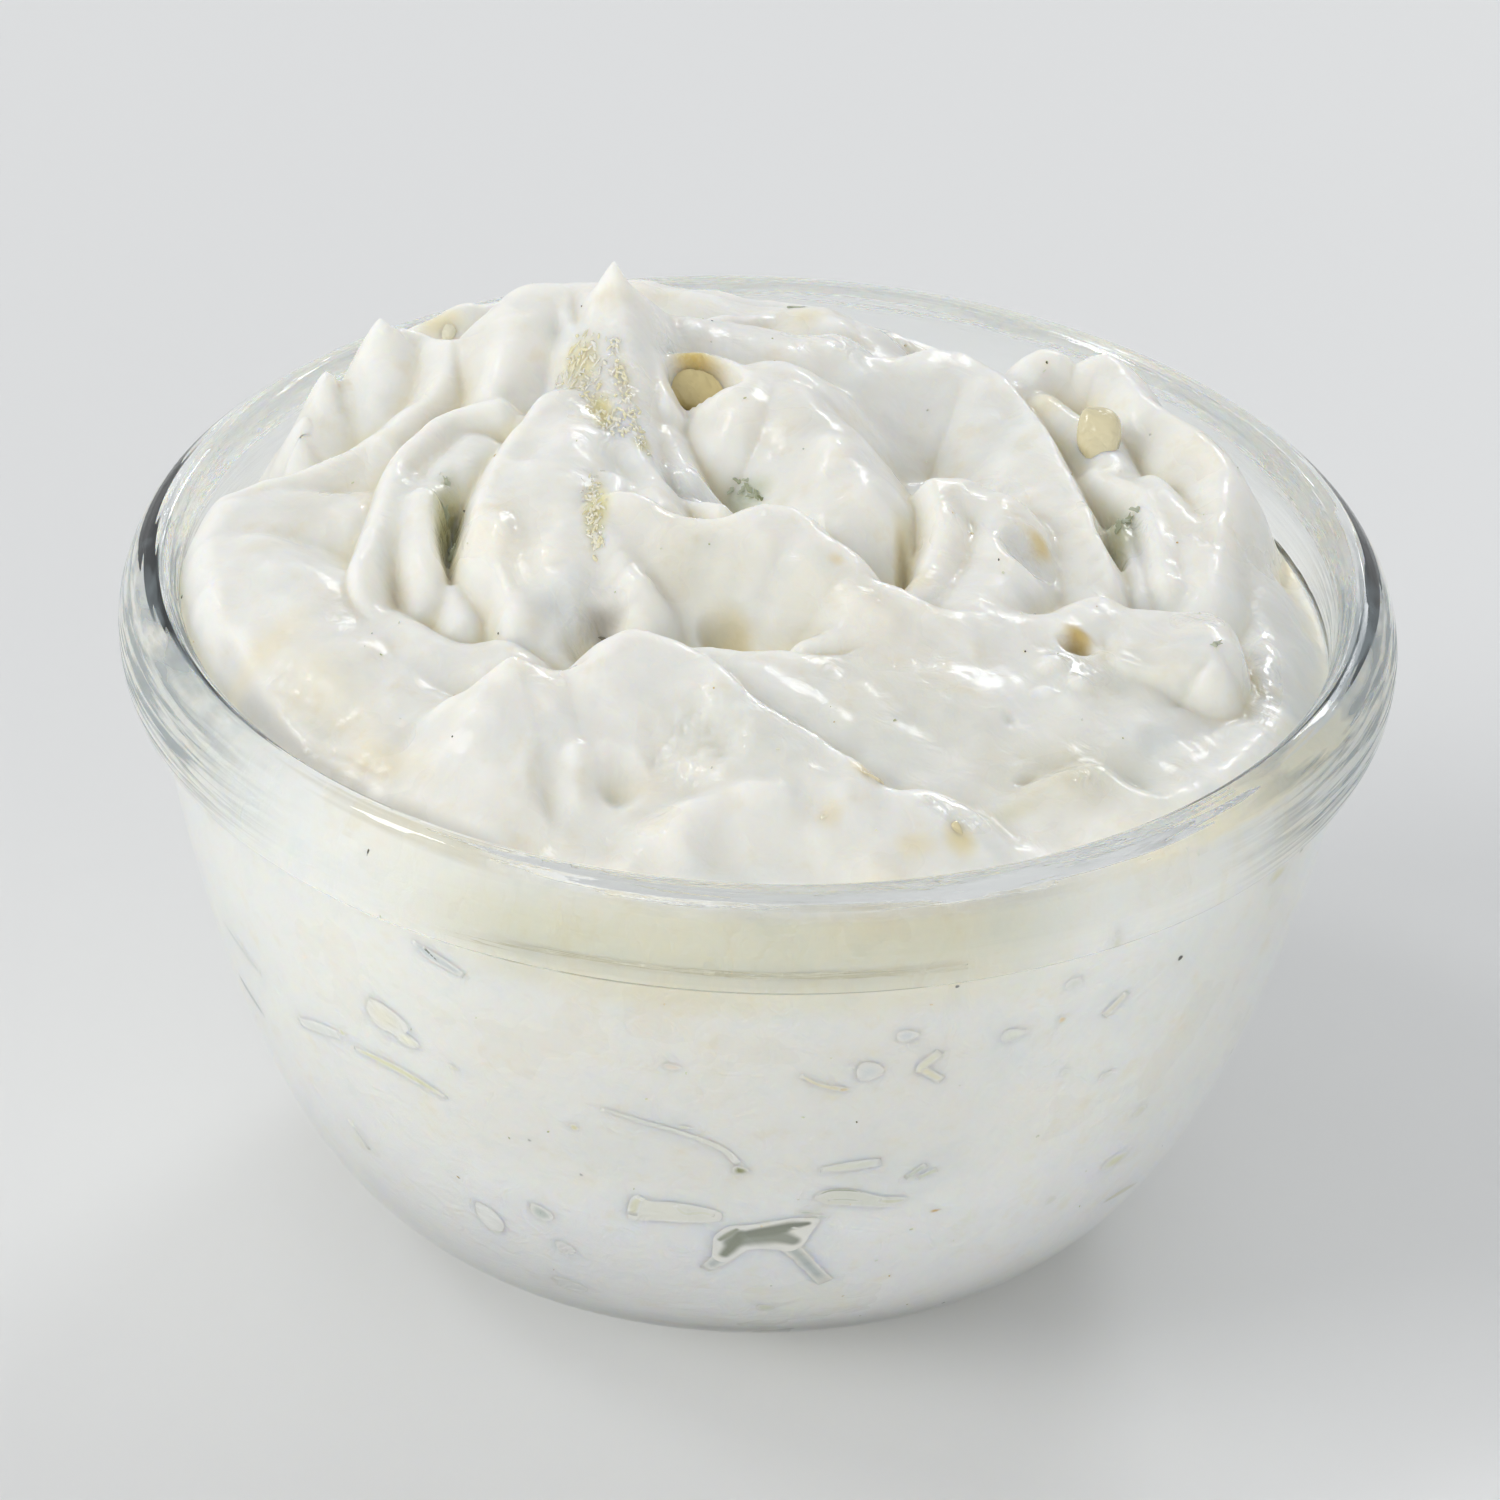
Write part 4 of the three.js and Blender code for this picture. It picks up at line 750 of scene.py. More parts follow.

# tints of cucumber and dill in the dip, together with painted light: painted shade in
# pockets, creases and faces turned from the lamps, a painted highlight on the crown's face
# and painted bluish reflections on wet spots. Columns: place x, y; half sizes; turn in
# degrees; colour; strength
TINTS_AND_PAINTED_LIGHT = [
    ((-6.0, 18.2), (3.6, 1.9), -20, (0.60, 0.46, 0.15), 1.0), ((-16.0, 15.2), (2.3, 3.6), 10, (0.90, 0.82, 0.50), 1.0),
    ((-14.0, 8.6), (1.6, 3.6), 12, (0.86, 0.78, 0.40), 1.0), ((-13.9, -6), (1.5, 6.2), 0, (0.84, 0.785, 0.40), 1.0),
    ((-10.4, 5.0), (1.2, 1.8), 0, (0.82, 0.755, 0.42), 1.0), ((-12.0, 11.5), (1.2, 5.6), 12, (0.81, 0.775, 0.61), 0.7),
    # the first tint on this line is a painted highlight, whitening the crown's face, which turns from the window
    ((-20, 15.5), (4.2, 5.6), 10, (0.93, 0.925, 0.89), 1.0), ((-6.2, 16.6), (3.4, 1.2), -25, (0.84, 0.80, 0.66), 0.8),
    ((-26.4, -2), (2.0, 6.8), 0, (0.52, 0.505, 0.30), 1.0), ((-13, -15.4), (2.6, 1.4), 0, (0.45, 0.42, 0.36), 0.9),
    ((-16, -14), (3.4, 3), 0, (0.74, 0.76, 0.75), 0.7), ((-2.4, -14.6), (3.2, 1.8), -20, (0.74, 0.66, 0.44), 0.9),
    ((12, -1.8), (1.5, 4.4), 8, (0.76, 0.70, 0.5), 0.8), ((13, -8), (2.2, 2.4), 0, (0.78, 0.72, 0.55), 0.6),
    ((23.4, 0.8), (1.5, 1.9), 0, (0.72, 0.58, 0.27), 0.95), ((21.5, -0.5), (3.2, 3.2), 0, (0.76, 0.77, 0.74), 0.6),
    ((26.8, -12.6), (2.0, 1.1), -20, (0.55, 0.42, 0.17), 1.0), ((28.8, -14.6), (1.2, 2.2), 0, (0.70, 0.62, 0.42), 0.6),
    ((17.1, -40.2), (2.0, 2.2), 20, (0.79, 0.71, 0.46), 0.95),
    ((9.3, -35.2), (2.4, 1.2), -35, (0.77, 0.69, 0.48), 0.95),
    ((6.4, -39.6), (1.6, 1.8), 0, (0.82, 0.75, 0.56), 0.7), ((13.5, -41.5), (2.6, 1.6), 20, (0.83, 0.77, 0.58), 0.7),
    ((-28.8, 32), (3.0, 2.2), 0, (0.82, 0.765, 0.56), 0.9), ((24, 25.5), (2.6, 3.4), 0, (0.84, 0.79, 0.62), 0.8),
    ((30.4, 8.6), (2.2, 4.4), 10, (0.60, 0.61, 0.44), 0.85), ((-1.2, 4.4), (2.8, 1.8), -20, (0.66, 0.69, 0.56), 0.9),
    ((36, -13.5), (3.2, 2.6), 0, (0.77, 0.79, 0.78), 0.75), ((33, -22.5), (4.5, 2.4), 15, (0.76, 0.78, 0.76), 0.7),
    # painted reflection: the two bluish tints on this line, on wet spots
    ((-5, 1.5), (7, 2.6), -30, (0.80, 0.83, 0.84), 0.7), ((26.5, -16.5), (4, 3.4), 0, (0.80, 0.825, 0.835), 0.6),
    ((21.5, -34), (3.4, 1.5), 25, (0.76, 0.74, 0.6), 0.8), ((-4.5, -32.5), (5.6, 5), 0, (0.80, 0.785, 0.7), 0.7),
    ((-8.5, -36), (2.6, 2.4), 0, (0.77, 0.73, 0.62), 0.7), ((-40.5, -19.5), (2.4, 7), -40, (0.85, 0.79, 0.62), 0.6),
    ((-30, -33), (6, 2.6), -35, (0.85, 0.80, 0.65), 0.7), ((10.5, -6.5), (1.2, 0.8), 0, (0.82, 0.68, 0.42), 0.8),
    ((6.2, -11), (1.0, 0.8), 0, (0.82, 0.72, 0.5), 0.8), ((-41.5, -6.5), (4, 1.6), 20, (0.85, 0.80, 0.66), 0.5),
    ((3, 36), (3, 3), 0, (0.83, 0.8, 0.66), 0.6), ((14, 41), (3.5, 2), -20, (0.8, 0.77, 0.58), 0.6),
    # painted shade: the broad grey tints on the next five lines darken faces of the heap turned from the lamps
    ((-5, -11.5), (7.5, 5), 0, (0.76, 0.75, 0.67), 0.75), ((3.5, -13), (5, 4), 0, (0.77, 0.76, 0.68), 0.6),
    ((2, -34), (7, 5), -30, (0.78, 0.775, 0.71), 0.7), ((11, -26), (13, 8), 0, (0.81, 0.80, 0.72), 0.6),
    ((27, -29), (11, 7), 10, (0.74, 0.735, 0.65), 0.9), ((4, 10), (5, 4.5), -30, (0.77, 0.775, 0.735), 0.7),
    ((13, -24), (12, 5), -20, (0.775, 0.77, 0.705), 0.8), ((-38, 2), (6, 4), 20, (0.77, 0.765, 0.71), 0.7),
    ((31, -17), (9, 6), 0, (0.78, 0.77, 0.69), 0.7), ((36, -8), (6, 5), 0, (0.79, 0.79, 0.745), 0.6),
    ((-36, -24), (5, 9), 40, (0.84, 0.81, 0.69), 0.6), ((-17, 41), (2.2, 2.6), 15, (0.8, 0.78, 0.6), 0.6),
    ((38, 22), (2.2, 3), 0, (0.8, 0.8, 0.7), 0.5),
]

# place x, y; half sizes; turn in degrees; strength
WET_SPOTS = [
    ((-4.5, 2), (7.5, 3.4), -32, 1.0), ((27, -16), (4.5, 4), 0, 1.0), ((-14, -15.5), (5, 3.6), 0, 0.8),
    ((36.5, -9.5), (3.4, 2.6), 0, 1.0), ((22.5, -1), (4, 4), 0, 0.7), ((-26.4, -2), (2, 7), 0, 1.0),
    ((-6.5, 19), (5.5, 4.4), -25, 0.9), ((6, 29), (9, 5), 0, 0.5), ((18, 11), (7, 5), -20, 0.6),
    ((3.5, -30), (8, 2.2), -28, 0.9), ((16.5, -37.5), (4.5, 2.4), -15, 0.9), ((27, -30.5), (4, 2.4), 0, 0.8),
    ((42.5, -9), (3, 12), 0, 0.7), ((-37.5, 9), (6, 2.6), -25, 0.5), ((31, 8), (3.4, 5.5), 0, 0.8),
    ((-13, 10), (5, 8), 0, 0.7), ((12, 38), (6, 3), -20, 0.6), ((-24, 38), (5, 3), 30, 0.6),
]

# bands of painted light and shade on the wall under the bead: lighter low down, where little
# light comes from the shaded table by the foot, darker behind the rim all round, and in front
# a darker white, a cream and a deep shade under the rim, for the light that the rim's glass
# bends. Columns: tone round the sides, tone in front, and the heights between which the
# band fades in and out
WALL_BANDS = [
    (LOW_WALL_PAINTED_LIGHT, LOW_WALL_PAINTED_LIGHT, (-2, -1), (14, 26)),
    (WALL_WHITE, FRONT_WALL_PAINTED_SHADE, (18, 28), (44, 46)),
    (WALL_WHITE, UNDER_RIM_PAINTED_CREAM, (43.5, 45.5), (49.0, 50.0)),
    (RIM_BAND_PAINTED_SHADE, FRONT_RIM_PAINTED_CREAM, (48.4, 49.2), (52.4, 53.4)),
    (RIM_BAND_PAINTED_SHADE, FRONT_RIM_PAINTED_SHADE, (52.2, 53.4), (90.0, 91.0)),
]

# painted highlight: how much brighter the thin crests are painted
CREST_PAINTED_HIGHLIGHT = 0.036  # how much brighter the thin crests are
# painted shade: the dip right behind the rim in front is painted darker, for the dark that the rim's glass bends there
RIM_SHADE = 0.32  # how much of its light the dip loses right behind the rim in front
RIM_SHADE_REACH = 2.4


def spot(x, y, middle, size, turn_degrees, strength):
    """The share of a soft-edged spot over points."""
    return hollow_depth(x, y, middle, size, turn_degrees, strength, 0.85)


def blurred(grid, reach):
    """A grid's values averaged over a square of neighbours, twice over."""
    for _ in range(2):
        for axis in (0, 1):
            padded = np.pad(grid, [(reach, reach) if k == axis else (0, 0) for k in (0, 1)], mode="edge")
            total = sum(np.take(padded, range(k, k + grid.shape[axis]), axis=axis) for k in range(2 * reach + 1))
            grid = total / (2 * reach + 1)
    return grid


def wall_tone(points):
    """Tone of the dip against the glass at points of the wall, in bands of painted light and shade."""
    x, y, height = points.T
    towards_front = (ease((-y - 20) / 12) * ease((30 - abs(x)) / 14))[:, None]
    colour = np.broadcast_to(WALL_WHITE, (len(points), 3))
    # painted light low down, painted shade and cream under and behind the rim
    for tone, front_tone, lower, upper in WALL_BANDS:
        share = (ease((height - lower[0]) / (lower[1] - lower[0])) * ease((upper[1] - height) / (upper[1] - upper[0])))
        band_tone = tone + towards_front * (front_tone - tone)
        colour = colour + share[:, None] * (band_tone - colour)
    return colour


def dip_tones(points):
    """Colour and wetness of each point of the dip, with its painted shade and highlights."""
    side = TOP_CELLS + 1
    z = points[:side * side, 2].reshape(side, side)
    sunk = np.zeros(len(points))
    near, wide = blurred(z, 4) - z, blurred(z, 12) - z
    sunk[:side * side] = (0.75 * ease((near - 0.05) / 1.0) + 0.3 * ease((wide - 0.6) / 3.5)).ravel()
    raised = np.zeros(len(points))
    raised[:side * side] = (0.5 * ease((-near - 0.05) / 0.7) + ease((z - blurred(z, 2) - 0.015) / 0.12)).ravel()
    x, y = points[:, 0], points[:, 1]
    on_top = np.arange(len(points)) < side * side
    # painted shade in the creases, and a painted highlight on the thin crests
    colour = WHITE + np.clip(sunk, 0, 1)[:, None] * (CREASE_PAINTED_CREAM - WHITE) + CREST_PAINTED_HIGHLIGHT * raised[:, None]
    gap = wall_radius(contact_height(np.arctan2(y, x)), -INTO_GLASS) - np.hypot(x, y)
    # painted shade behind the rim in front
    seen_through_rim = ease((RIM_SHADE_REACH - gap) / 1.6) * ease((-y - 14) / 12) * ease((34 - x) / 14)
    colour = colour * (1 - RIM_SHADE * seen_through_rim[:, None])
    colour = np.where(on_top[:, None], colour, wall_tone(points))
    # tints, with painted shade, highlights and reflections among them
    for middle, size, turned_by, tint_or_painted_light, strength in TINTS_AND_PAINTED_LIGHT:
        share = (spot(x, y, middle, size, turned_by, strength) * on_top)[:, None]
        colour = colour + share * (np.array(tint_or_painted_light) - colour)
    wet = np.max([spot(x, y, *where) * on_top for where in WET_SPOTS], axis=0)
    return colour, wet


dip_colour, dip_wet = dip_tones(dip_points)
print("mean colour of the dip", dip_colour.mean(0).round(3))

# %% [markdown]
# ## The dip's finish
#
# Strained yoghurt is bright and slightly see-through: light sinks in and comes out again a
# millimetre or two away, warmer than it went in. That is subsurface scattering. Its skin is
# moist, so a clear coat gives small soft highlights, sharper where whey has gathered. One
# function makes the finish of the dip and of all bits in it: each reads its own tone and
# wetness from its points, so a bit under a film of yoghurt can fade into it at its edges.


# %% Material of the dip and its bits
def moist_material(name, fine_bump, depth_mm=0.0):
    """A moist finish. With a depth, light sinks in; thin bits do without it."""
    material, tree, shader = new_material(name)
    place = add(tree, "ShaderNodeTexCoord").outputs["Object"]
    tone = add(tree, "ShaderNodeAttribute", attribute_name="tone").outputs["Color"]
    wet = add(tree, "ShaderNodeAttribute", attribute_name="wet").outputs["Fac"]
    slow = add(tree, "ShaderNodeTexNoise", Scale=85.0, Detail=3.0, Roughness=0.5)
    fine = add(tree, "ShaderNodeTexNoise", Scale=900.0, Detail=3.0, Roughness=0.55)
    tree.links.new(place, slow.inputs["Vector"])
    tree.links.new(place, fine.inputs["Vector"])
    drift = colour_ramp(tree, slow.outputs["Fac"], [
        (0.34, (0.965, 0.975, 0.98)), (0.46, (1, 1, 1)), (0.58, (1, 0.994, 0.978)), (0.72, (0.985, 0.962, 0.915))])
    mottle = add(tree, "ShaderNodeTexNoise", Scale=330.0, Detail=4.0, Roughness=0.6)
    tree.links.new(place, mottle.inputs["Vector"])
    mottling = colour_ramp(tree, mottle.outputs["Fac"], [
        (0.33, (0.97, 0.98, 0.985)), (0.45, (1, 1, 1)), (0.58, (1, 0.995, 0.982)), (0.70, (0.98, 0.955, 0.90))])
    colour = tone
    for layer in (drift, mottling):
        product = tree.nodes.new("ShaderNodeMix")
        product.data_type = "RGBA"
        product.blend_type = "MULTIPLY"
        product.inputs[0].default_value = 1.0
        tree.links.new(colour, product.inputs[6])
        tree.links.new(layer, product.inputs[7])
        colour = product.outputs[2]
    tree.links.new(colour, shader.inputs["Base Color"])
    dry = add(tree, "ShaderNodeMapRange", From_Min=0.42, From_Max=0.66, To_Min=0.40, To_Max=0.24)
    tree.links.new(slow.outputs["Fac"], dry.inputs["Value"])
    gloss = add(tree, "ShaderNodeMapRange", From_Min=0.0, From_Max=1.0, To_Max=0.09)
    tree.links.new(wet, gloss.inputs["Value"])
    tree.links.new(dry.outputs["Result"], gloss.inputs["To Min"])
    tree.links.new(gloss.outputs["Result"], shader.inputs["Roughness"])
    coat = add(tree, "ShaderNodeMapRange", To_Min=0.2, To_Max=0.9)
    tree.links.new(wet, coat.inputs["Value"])
    tree.links.new(coat.outputs["Result"], shader.inputs["Coat Weight"])
    shader.inputs["Coat Roughness"].default_value = 0.07
    shader.inputs["Subsurface Weight"].default_value = 1.0 if depth_mm else 0.0
    shader.inputs["Subsurface Radius"].default_value = (1.0, 0.85, 0.62)
    shader.inputs["Subsurface Scale"].default_value = depth_mm * MM
    shader.inputs["IOR"].default_value = 1.38
    swirl = add(tree, "ShaderNodeTexNoise", Scale=360.0, Detail=2.0, Roughness=0.5, Distortion=1.6)
    tree.links.new(place, swirl.inputs["Vector"])
    ripples = add(tree, "ShaderNodeBump", Distance=0.0005)
    ripple_strength = add(tree, "ShaderNodeMapRange", To_Min=0.32, To_Max=1.0)
    tree.links.new(wet, ripple_strength.inputs["Value"])
    tree.links.new(ripple_strength.outputs["Result"], ripples.inputs["Strength"])
    tree.links.new(swirl.outputs["Fac"], ripples.inputs["Height"])
    drawn_out = add(tree, "ShaderNodeMapping", vector_type="TEXTURE", Rotation=(0, 0, math.radians(-39)),
                    Scale=(1 / 130, 1 / 640, 1 / 300))
    tree.links.new(place, drawn_out.inputs["Vector"])
    pulled = add(tree, "ShaderNodeTexNoise", Scale=1.0, Detail=3.0, Roughness=0.55, Distortion=0.4)
    tree.links.new(drawn_out.outputs["Vector"], pulled.inputs["Vector"])
    threads = add(tree, "ShaderNodeBump", Distance=0.0007)
    tree.links.new(wet, threads.inputs["Strength"])
    tree.links.new(pulled.outputs["Fac"], threads.inputs["Height"])
    tree.links.new(ripples.outputs["Normal"], threads.inputs["Normal"])
    bump = add(tree, "ShaderNodeBump", Strength=fine_bump, Distance=0.0002)
    tree.links.new(fine.outputs["Fac"], bump.inputs["Height"])
    tree.links.new(threads.outputs["Normal"], bump.inputs["Normal"])
    tree.links.new(bump.outputs["Normal"], shader.inputs["Normal"])
    return material


def set_tones(piece, colour, wet):
    """Write each point's colour and wetness on a piece."""
    mesh = piece.data
    shade = mesh.color_attributes.new("tone", "FLOAT_COLOR", "POINT")
    shade.data.foreach_set("color", np.column_stack([colour, np.ones(len(colour))]).astype(np.float32).ravel())
    gloss = mesh.attributes.new("wet", "FLOAT", "POINT")
    gloss.data.foreach_set("value", np.asarray(wet, np.float32))


DIP = moist_material("tzatziki", 0.25, 2.0)
dip = mesh_piece("tzatziki", dip_points, dip_faces, DIP)
set_tones(dip, dip_colour, dip_wet)
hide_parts("dip")
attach(dip, "root")
print("dip piece made")

# %% [markdown]
# ## Bits of cucumber and dill
#
# The cucumber is cut and grated, so there are small blocks of flesh with rounded edges,
# strips of pulp that lie flush in the surface, and slivers of dark peel. Each bit is a
# small closed mesh: an outline, drawn by a few points in its own plane, is stacked up in
# layers of different widths, as a pebble. Its own frame says where it lies and which way
# it faces.


# %% Helpers for bits
def closed_curve(points, steps=5):
    """A smooth closed outline through points in a plane."""
    p = np.array(points, float)
    before, after, next_one = np.roll(p, 1, 0), np.roll(p, -1, 0), np.roll(p, -2, 0)
    t = (np.arange(steps) / steps)[None, :, None]
    p, before, after, next_one = (v[:, None] for v in (p, before, after, next_one))
    curve = 0.5 * (2 * p + (after - before) * t + (2 * before - 5 * p + 4 * after - next_one) * t**2
                   + (3 * p - before - 3 * after + next_one) * t**3)
    return curve.reshape(-1, 2)


def stacked(rings, start, end):
    """Points and faces, turned outwards, of rings of equal length and a point at either end."""
    count = len(rings[0])
    points = np.vstack([*rings, start, end])
    first, last = len(points) - 2, len(points) - 1
    faces = []
    for k in range(count):
        after = (k + 1) % count
        faces.append((first, after, k))
        faces.append((last, (len(rings) - 1) * count + k, (len(rings) - 1) * count + after))
        for row in range(len(rings) - 1):
            low, high = row * count, (row + 1) * count
            faces.append((low + k, low + after, high + after, high + k))
    centred = points - points.mean(0)
    volume = sum(np.dot(centred[f[0]], np.cross(centred[f[1]], centred[f[2]])) for f in faces)
    return points, faces if volume > 0 else [face[::-1] for face in faces]


PEBBLE_LAYERS = [(0.72, -1.0), (1.0, -0.45), (1.0, 0.3), (0.93, 0.68), (0.76, 0.9), (0.42, 0.98)]


def facing(direction, turn_degrees=0):
    """Two axes across a direction and the direction itself, as rows."""
    ahead = np.array(direction, float) / np.linalg.norm(direction)
    side = np.cross([0, 0, 1] if abs(ahead[2]) < 0.95 else [0, 1, 0], ahead)
    side /= np.linalg.norm(side)
    rise = np.cross(ahead, side)
    c, s = math.cos(math.radians(turn_degrees)), math.sin(math.radians(turn_degrees))
    return np.array([c * side + s * rise, c * rise - s * side, ahead])


def pebble(outline, thickness, middle, frame):
    """A rounded bit from its outline in millimetres, lying in a frame."""
    curve = closed_curve(outline)
    centre = curve.mean(0)
    rings = [np.column_stack([centre + (curve - centre) * share, np.full(len(curve), level * thickness / 2)])
             for share, level in PEBBLE_LAYERS]
    ends = [np.array([*centre, -thickness / 2]), np.array([*centre, thickness / 2])]
    points, faces = stacked(rings, *ends)
    return np.array(middle) + points @ frame, faces


def tube(path, radii, sides=6):
    """A closed round strand along a path with a radius for each of its points."""
    path = np.array(path, float)
    along = np.gradient(path, axis=0)
    rings = []
    for point, step, radius in zip(path, along, radii):
        across, rise, _ = facing(step)
        turn = np.linspace(0, 2 * np.pi, sides, endpoint=False)[:, None]
        rings.append(point + radius * (np.cos(turn) * across + np.sin(turn) * rise))
    return stacked(rings, path[0] - along[0] * 0.3, path[-1] + along[-1] * 0.3)


def joined(parts):
    """Several (points, faces, tones) as one."""
    points, faces, tones, start = [], [], [], 0
    for part_points, part_faces, part_tones in parts:
        points.append(part_points)
        faces += [tuple(start + i for i in face) for face in part_faces]
        tones.append(np.broadcast_to(part_tones, (len(part_points), 3)))
        start += len(part_points)
    return np.vstack(points), faces, np.vstack(tones)


def bits_piece(name, parts, material, wet=0.5):
    """One scattered piece of the dip from several bits."""
    points, faces, tones = joined(parts)
    piece = mesh_piece(name, points, faces, material)
    set_tones(piece, tones, np.full(len(points), wet))
    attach(piece, "root")
    return piece


def on_heap(x, y):
    """Points of the dip's surface over x, y."""
    x, y = np.atleast_1d(np.asarray(x, float)), np.atleast_1d(np.asarray(y, float))
    edge_height = contact_height(np.arctan2(y, x))
    return np.stack(heap(x, y, wall_radius(edge_height, -INTO_GLASS), edge_height), 1)


print("surface at the middle", on_heap(0, 0).round(1))

# %% [markdown]
# ### Blocks and pulp on the heap
#
# The largest block is a pale yellow piece of seeded flesh at the back right, and a deeper
# yellow one sits in the hollow behind the middle. The pulp is made of many small grains
# with a fixed seed, laid along lines down the front of the peak and half sunk, which gives
# the ragged look of grated flesh.

# %% Cucumber on the heap
CUCUMBER = moist_material("cucumber_flesh", 0.1)
FLESH = np.array([0.75, 0.68, 0.45])
PALE_FLESH = np.array([0.83, 0.80, 0.63])
STRAND = np.array([0.84, 0.785, 0.50])

blocks = [
    (pebble([(-1.7, 2.0), (-0.6, 2.6), (0.8, 2.5), (1.8, 1.5), (1.95, -0.4), (1.2, -2.1), (0.1, -2.7), (-0.9, -1.9),
             (-1.7, -0.6)], 2.4, (28.4, 20.8, 59.7), facing((-0.1, -0.6, 0.8))), FLESH),
    (pebble([(-1.8, 0.3), (-0.3, 0.6), (1.6, 0.45), (1.9, -0.3), (0.2, -0.5), (-1.5, -0.4)], 0.8, (17.1, -40.1, 55.55),
            facing((0.1, -0.7, 0.8), 100)), (0.77, 0.68, 0.42)),
    (pebble([(-1.2, 0.4), (0, 0.6), (1.3, 0.3), (1.2, -0.4), (0, -0.5), (-1.2, -0.4)], 0.9, (9.4, -35.5, 58.5),
            facing((0.2, -0.5, 0.8), -35)), (0.80, 0.71, 0.48)),
    (pebble([(-1.5, 0.7), (0, 1.0), (1.5, 0.6), (1.3, -0.7), (0, -0.9), (-1.4, -0.6)], 1.3, (-28.6, 31.8, 61.2),
            facing((-0.3, -0.5, 0.8), 10)), PALE_FLESH),
    (pebble([(-0.8, 0.6), (0.7, 0.6), (0.9, -0.5), (-0.7, -0.6)], 0.9, (6.4, -39.9, 56.9),
            facing((0, -0.7, 0.8))), PALE_FLESH),
    (pebble([(-3.4, 0.0), (-2.5, 1.4), (-0.5, 1.8), (1.7, 1.3), (3.6, -0.4), (2.6, -2.0), (0.2, -2.4), (-2.1, -1.7)],
            2.0, (-6.0, 18.5, 64.55), facing((0.1, -0.75, 0.66), -8)), (0.80, 0.675, 0.35)),
]
block_parts = [(points, faces, tone) for (points, faces), tone in blocks]

# lines of pulp: crest points x, y; how wide the grains spread; how many
PULP_LINES = [
    ([(-16.2, 17.6), (-16.4, 14.6), (-15.2, 11.2), (-13.6, 8.2), (-12.2, 6.0)], 1.5, 150),
    ([(-13.4, 16.4), (-12.6, 12.6), (-11.6, 9.0), (-10.3, 4.6)], 0.7, 90),
    ([(-14.1, -1.0), (-14.2, -4.4), (-13.9, -7.6), (-13.7, -10.4)], 0.8, 100),
]
GRAIN_SHAPE = np.array([0.5, 0.9, 1.0, 0.9, 0.5])
draw = np.random.default_rng(12)
pulp_parts = []
for line, spread, count in PULP_LINES:
    spine = smooth_curve([(x, y, 0) for x, y in line], 8)[:, :2]
    for grain in range(count):
        middle = spine[draw.integers(len(spine))] + draw.normal(0, spread * 0.5, 2)
        heading, length, radius = draw.uniform(0.6, 2.6), draw.uniform(0.3, 1.0), draw.uniform(0.09, 0.22)
        reach = length * np.array([math.cos(heading), math.sin(heading)])
        path = middle + np.linspace(-0.5, 0.5, len(GRAIN_SHAPE))[:, None] * reach
        surface = on_heap(path[:, 0], path[:, 1]) - [0, 0, 0.5 * radius]
        pale = draw.uniform(0, 1)
        pulp_parts.append((*tube(surface, radius * GRAIN_SHAPE), STRAND + pale * (WHITE - STRAND)))
bits_piece("cucumber_on_top", block_parts + pulp_parts, CUCUMBER, 0.7)
print(len(block_parts), "blocks and", len(pulp_parts), "grains of pulp")

# %% [markdown]
# ### Peel and dill on the heap
#
# Dark green slivers of peel and a few threads of dill lie in the hollows, wet and half
# covered. They are thin pebbles, in a dark grey-green that yoghurt has dulled.

# %% Peel and dill on the heap
HERB = moist_material("dill_and_peel", 0.2)
PEEL_SLIVER = [(-1.5, 0.1), (-1.0, 0.55), (-0.4, 0.3), (0.1, 0.65), (0.7, 0.35), (1.6, 0.3), (1.0, -0.05), (1.3, -0.45),
               (0.5, -0.35), (0.0, -0.6), (-0.6, -0.25)]
DARK_HERB = (0.24, 0.27, 0.14)
MID_HERB = (0.40, 0.43, 0.29)
DULL_HERB = (0.52, 0.55, 0.42)

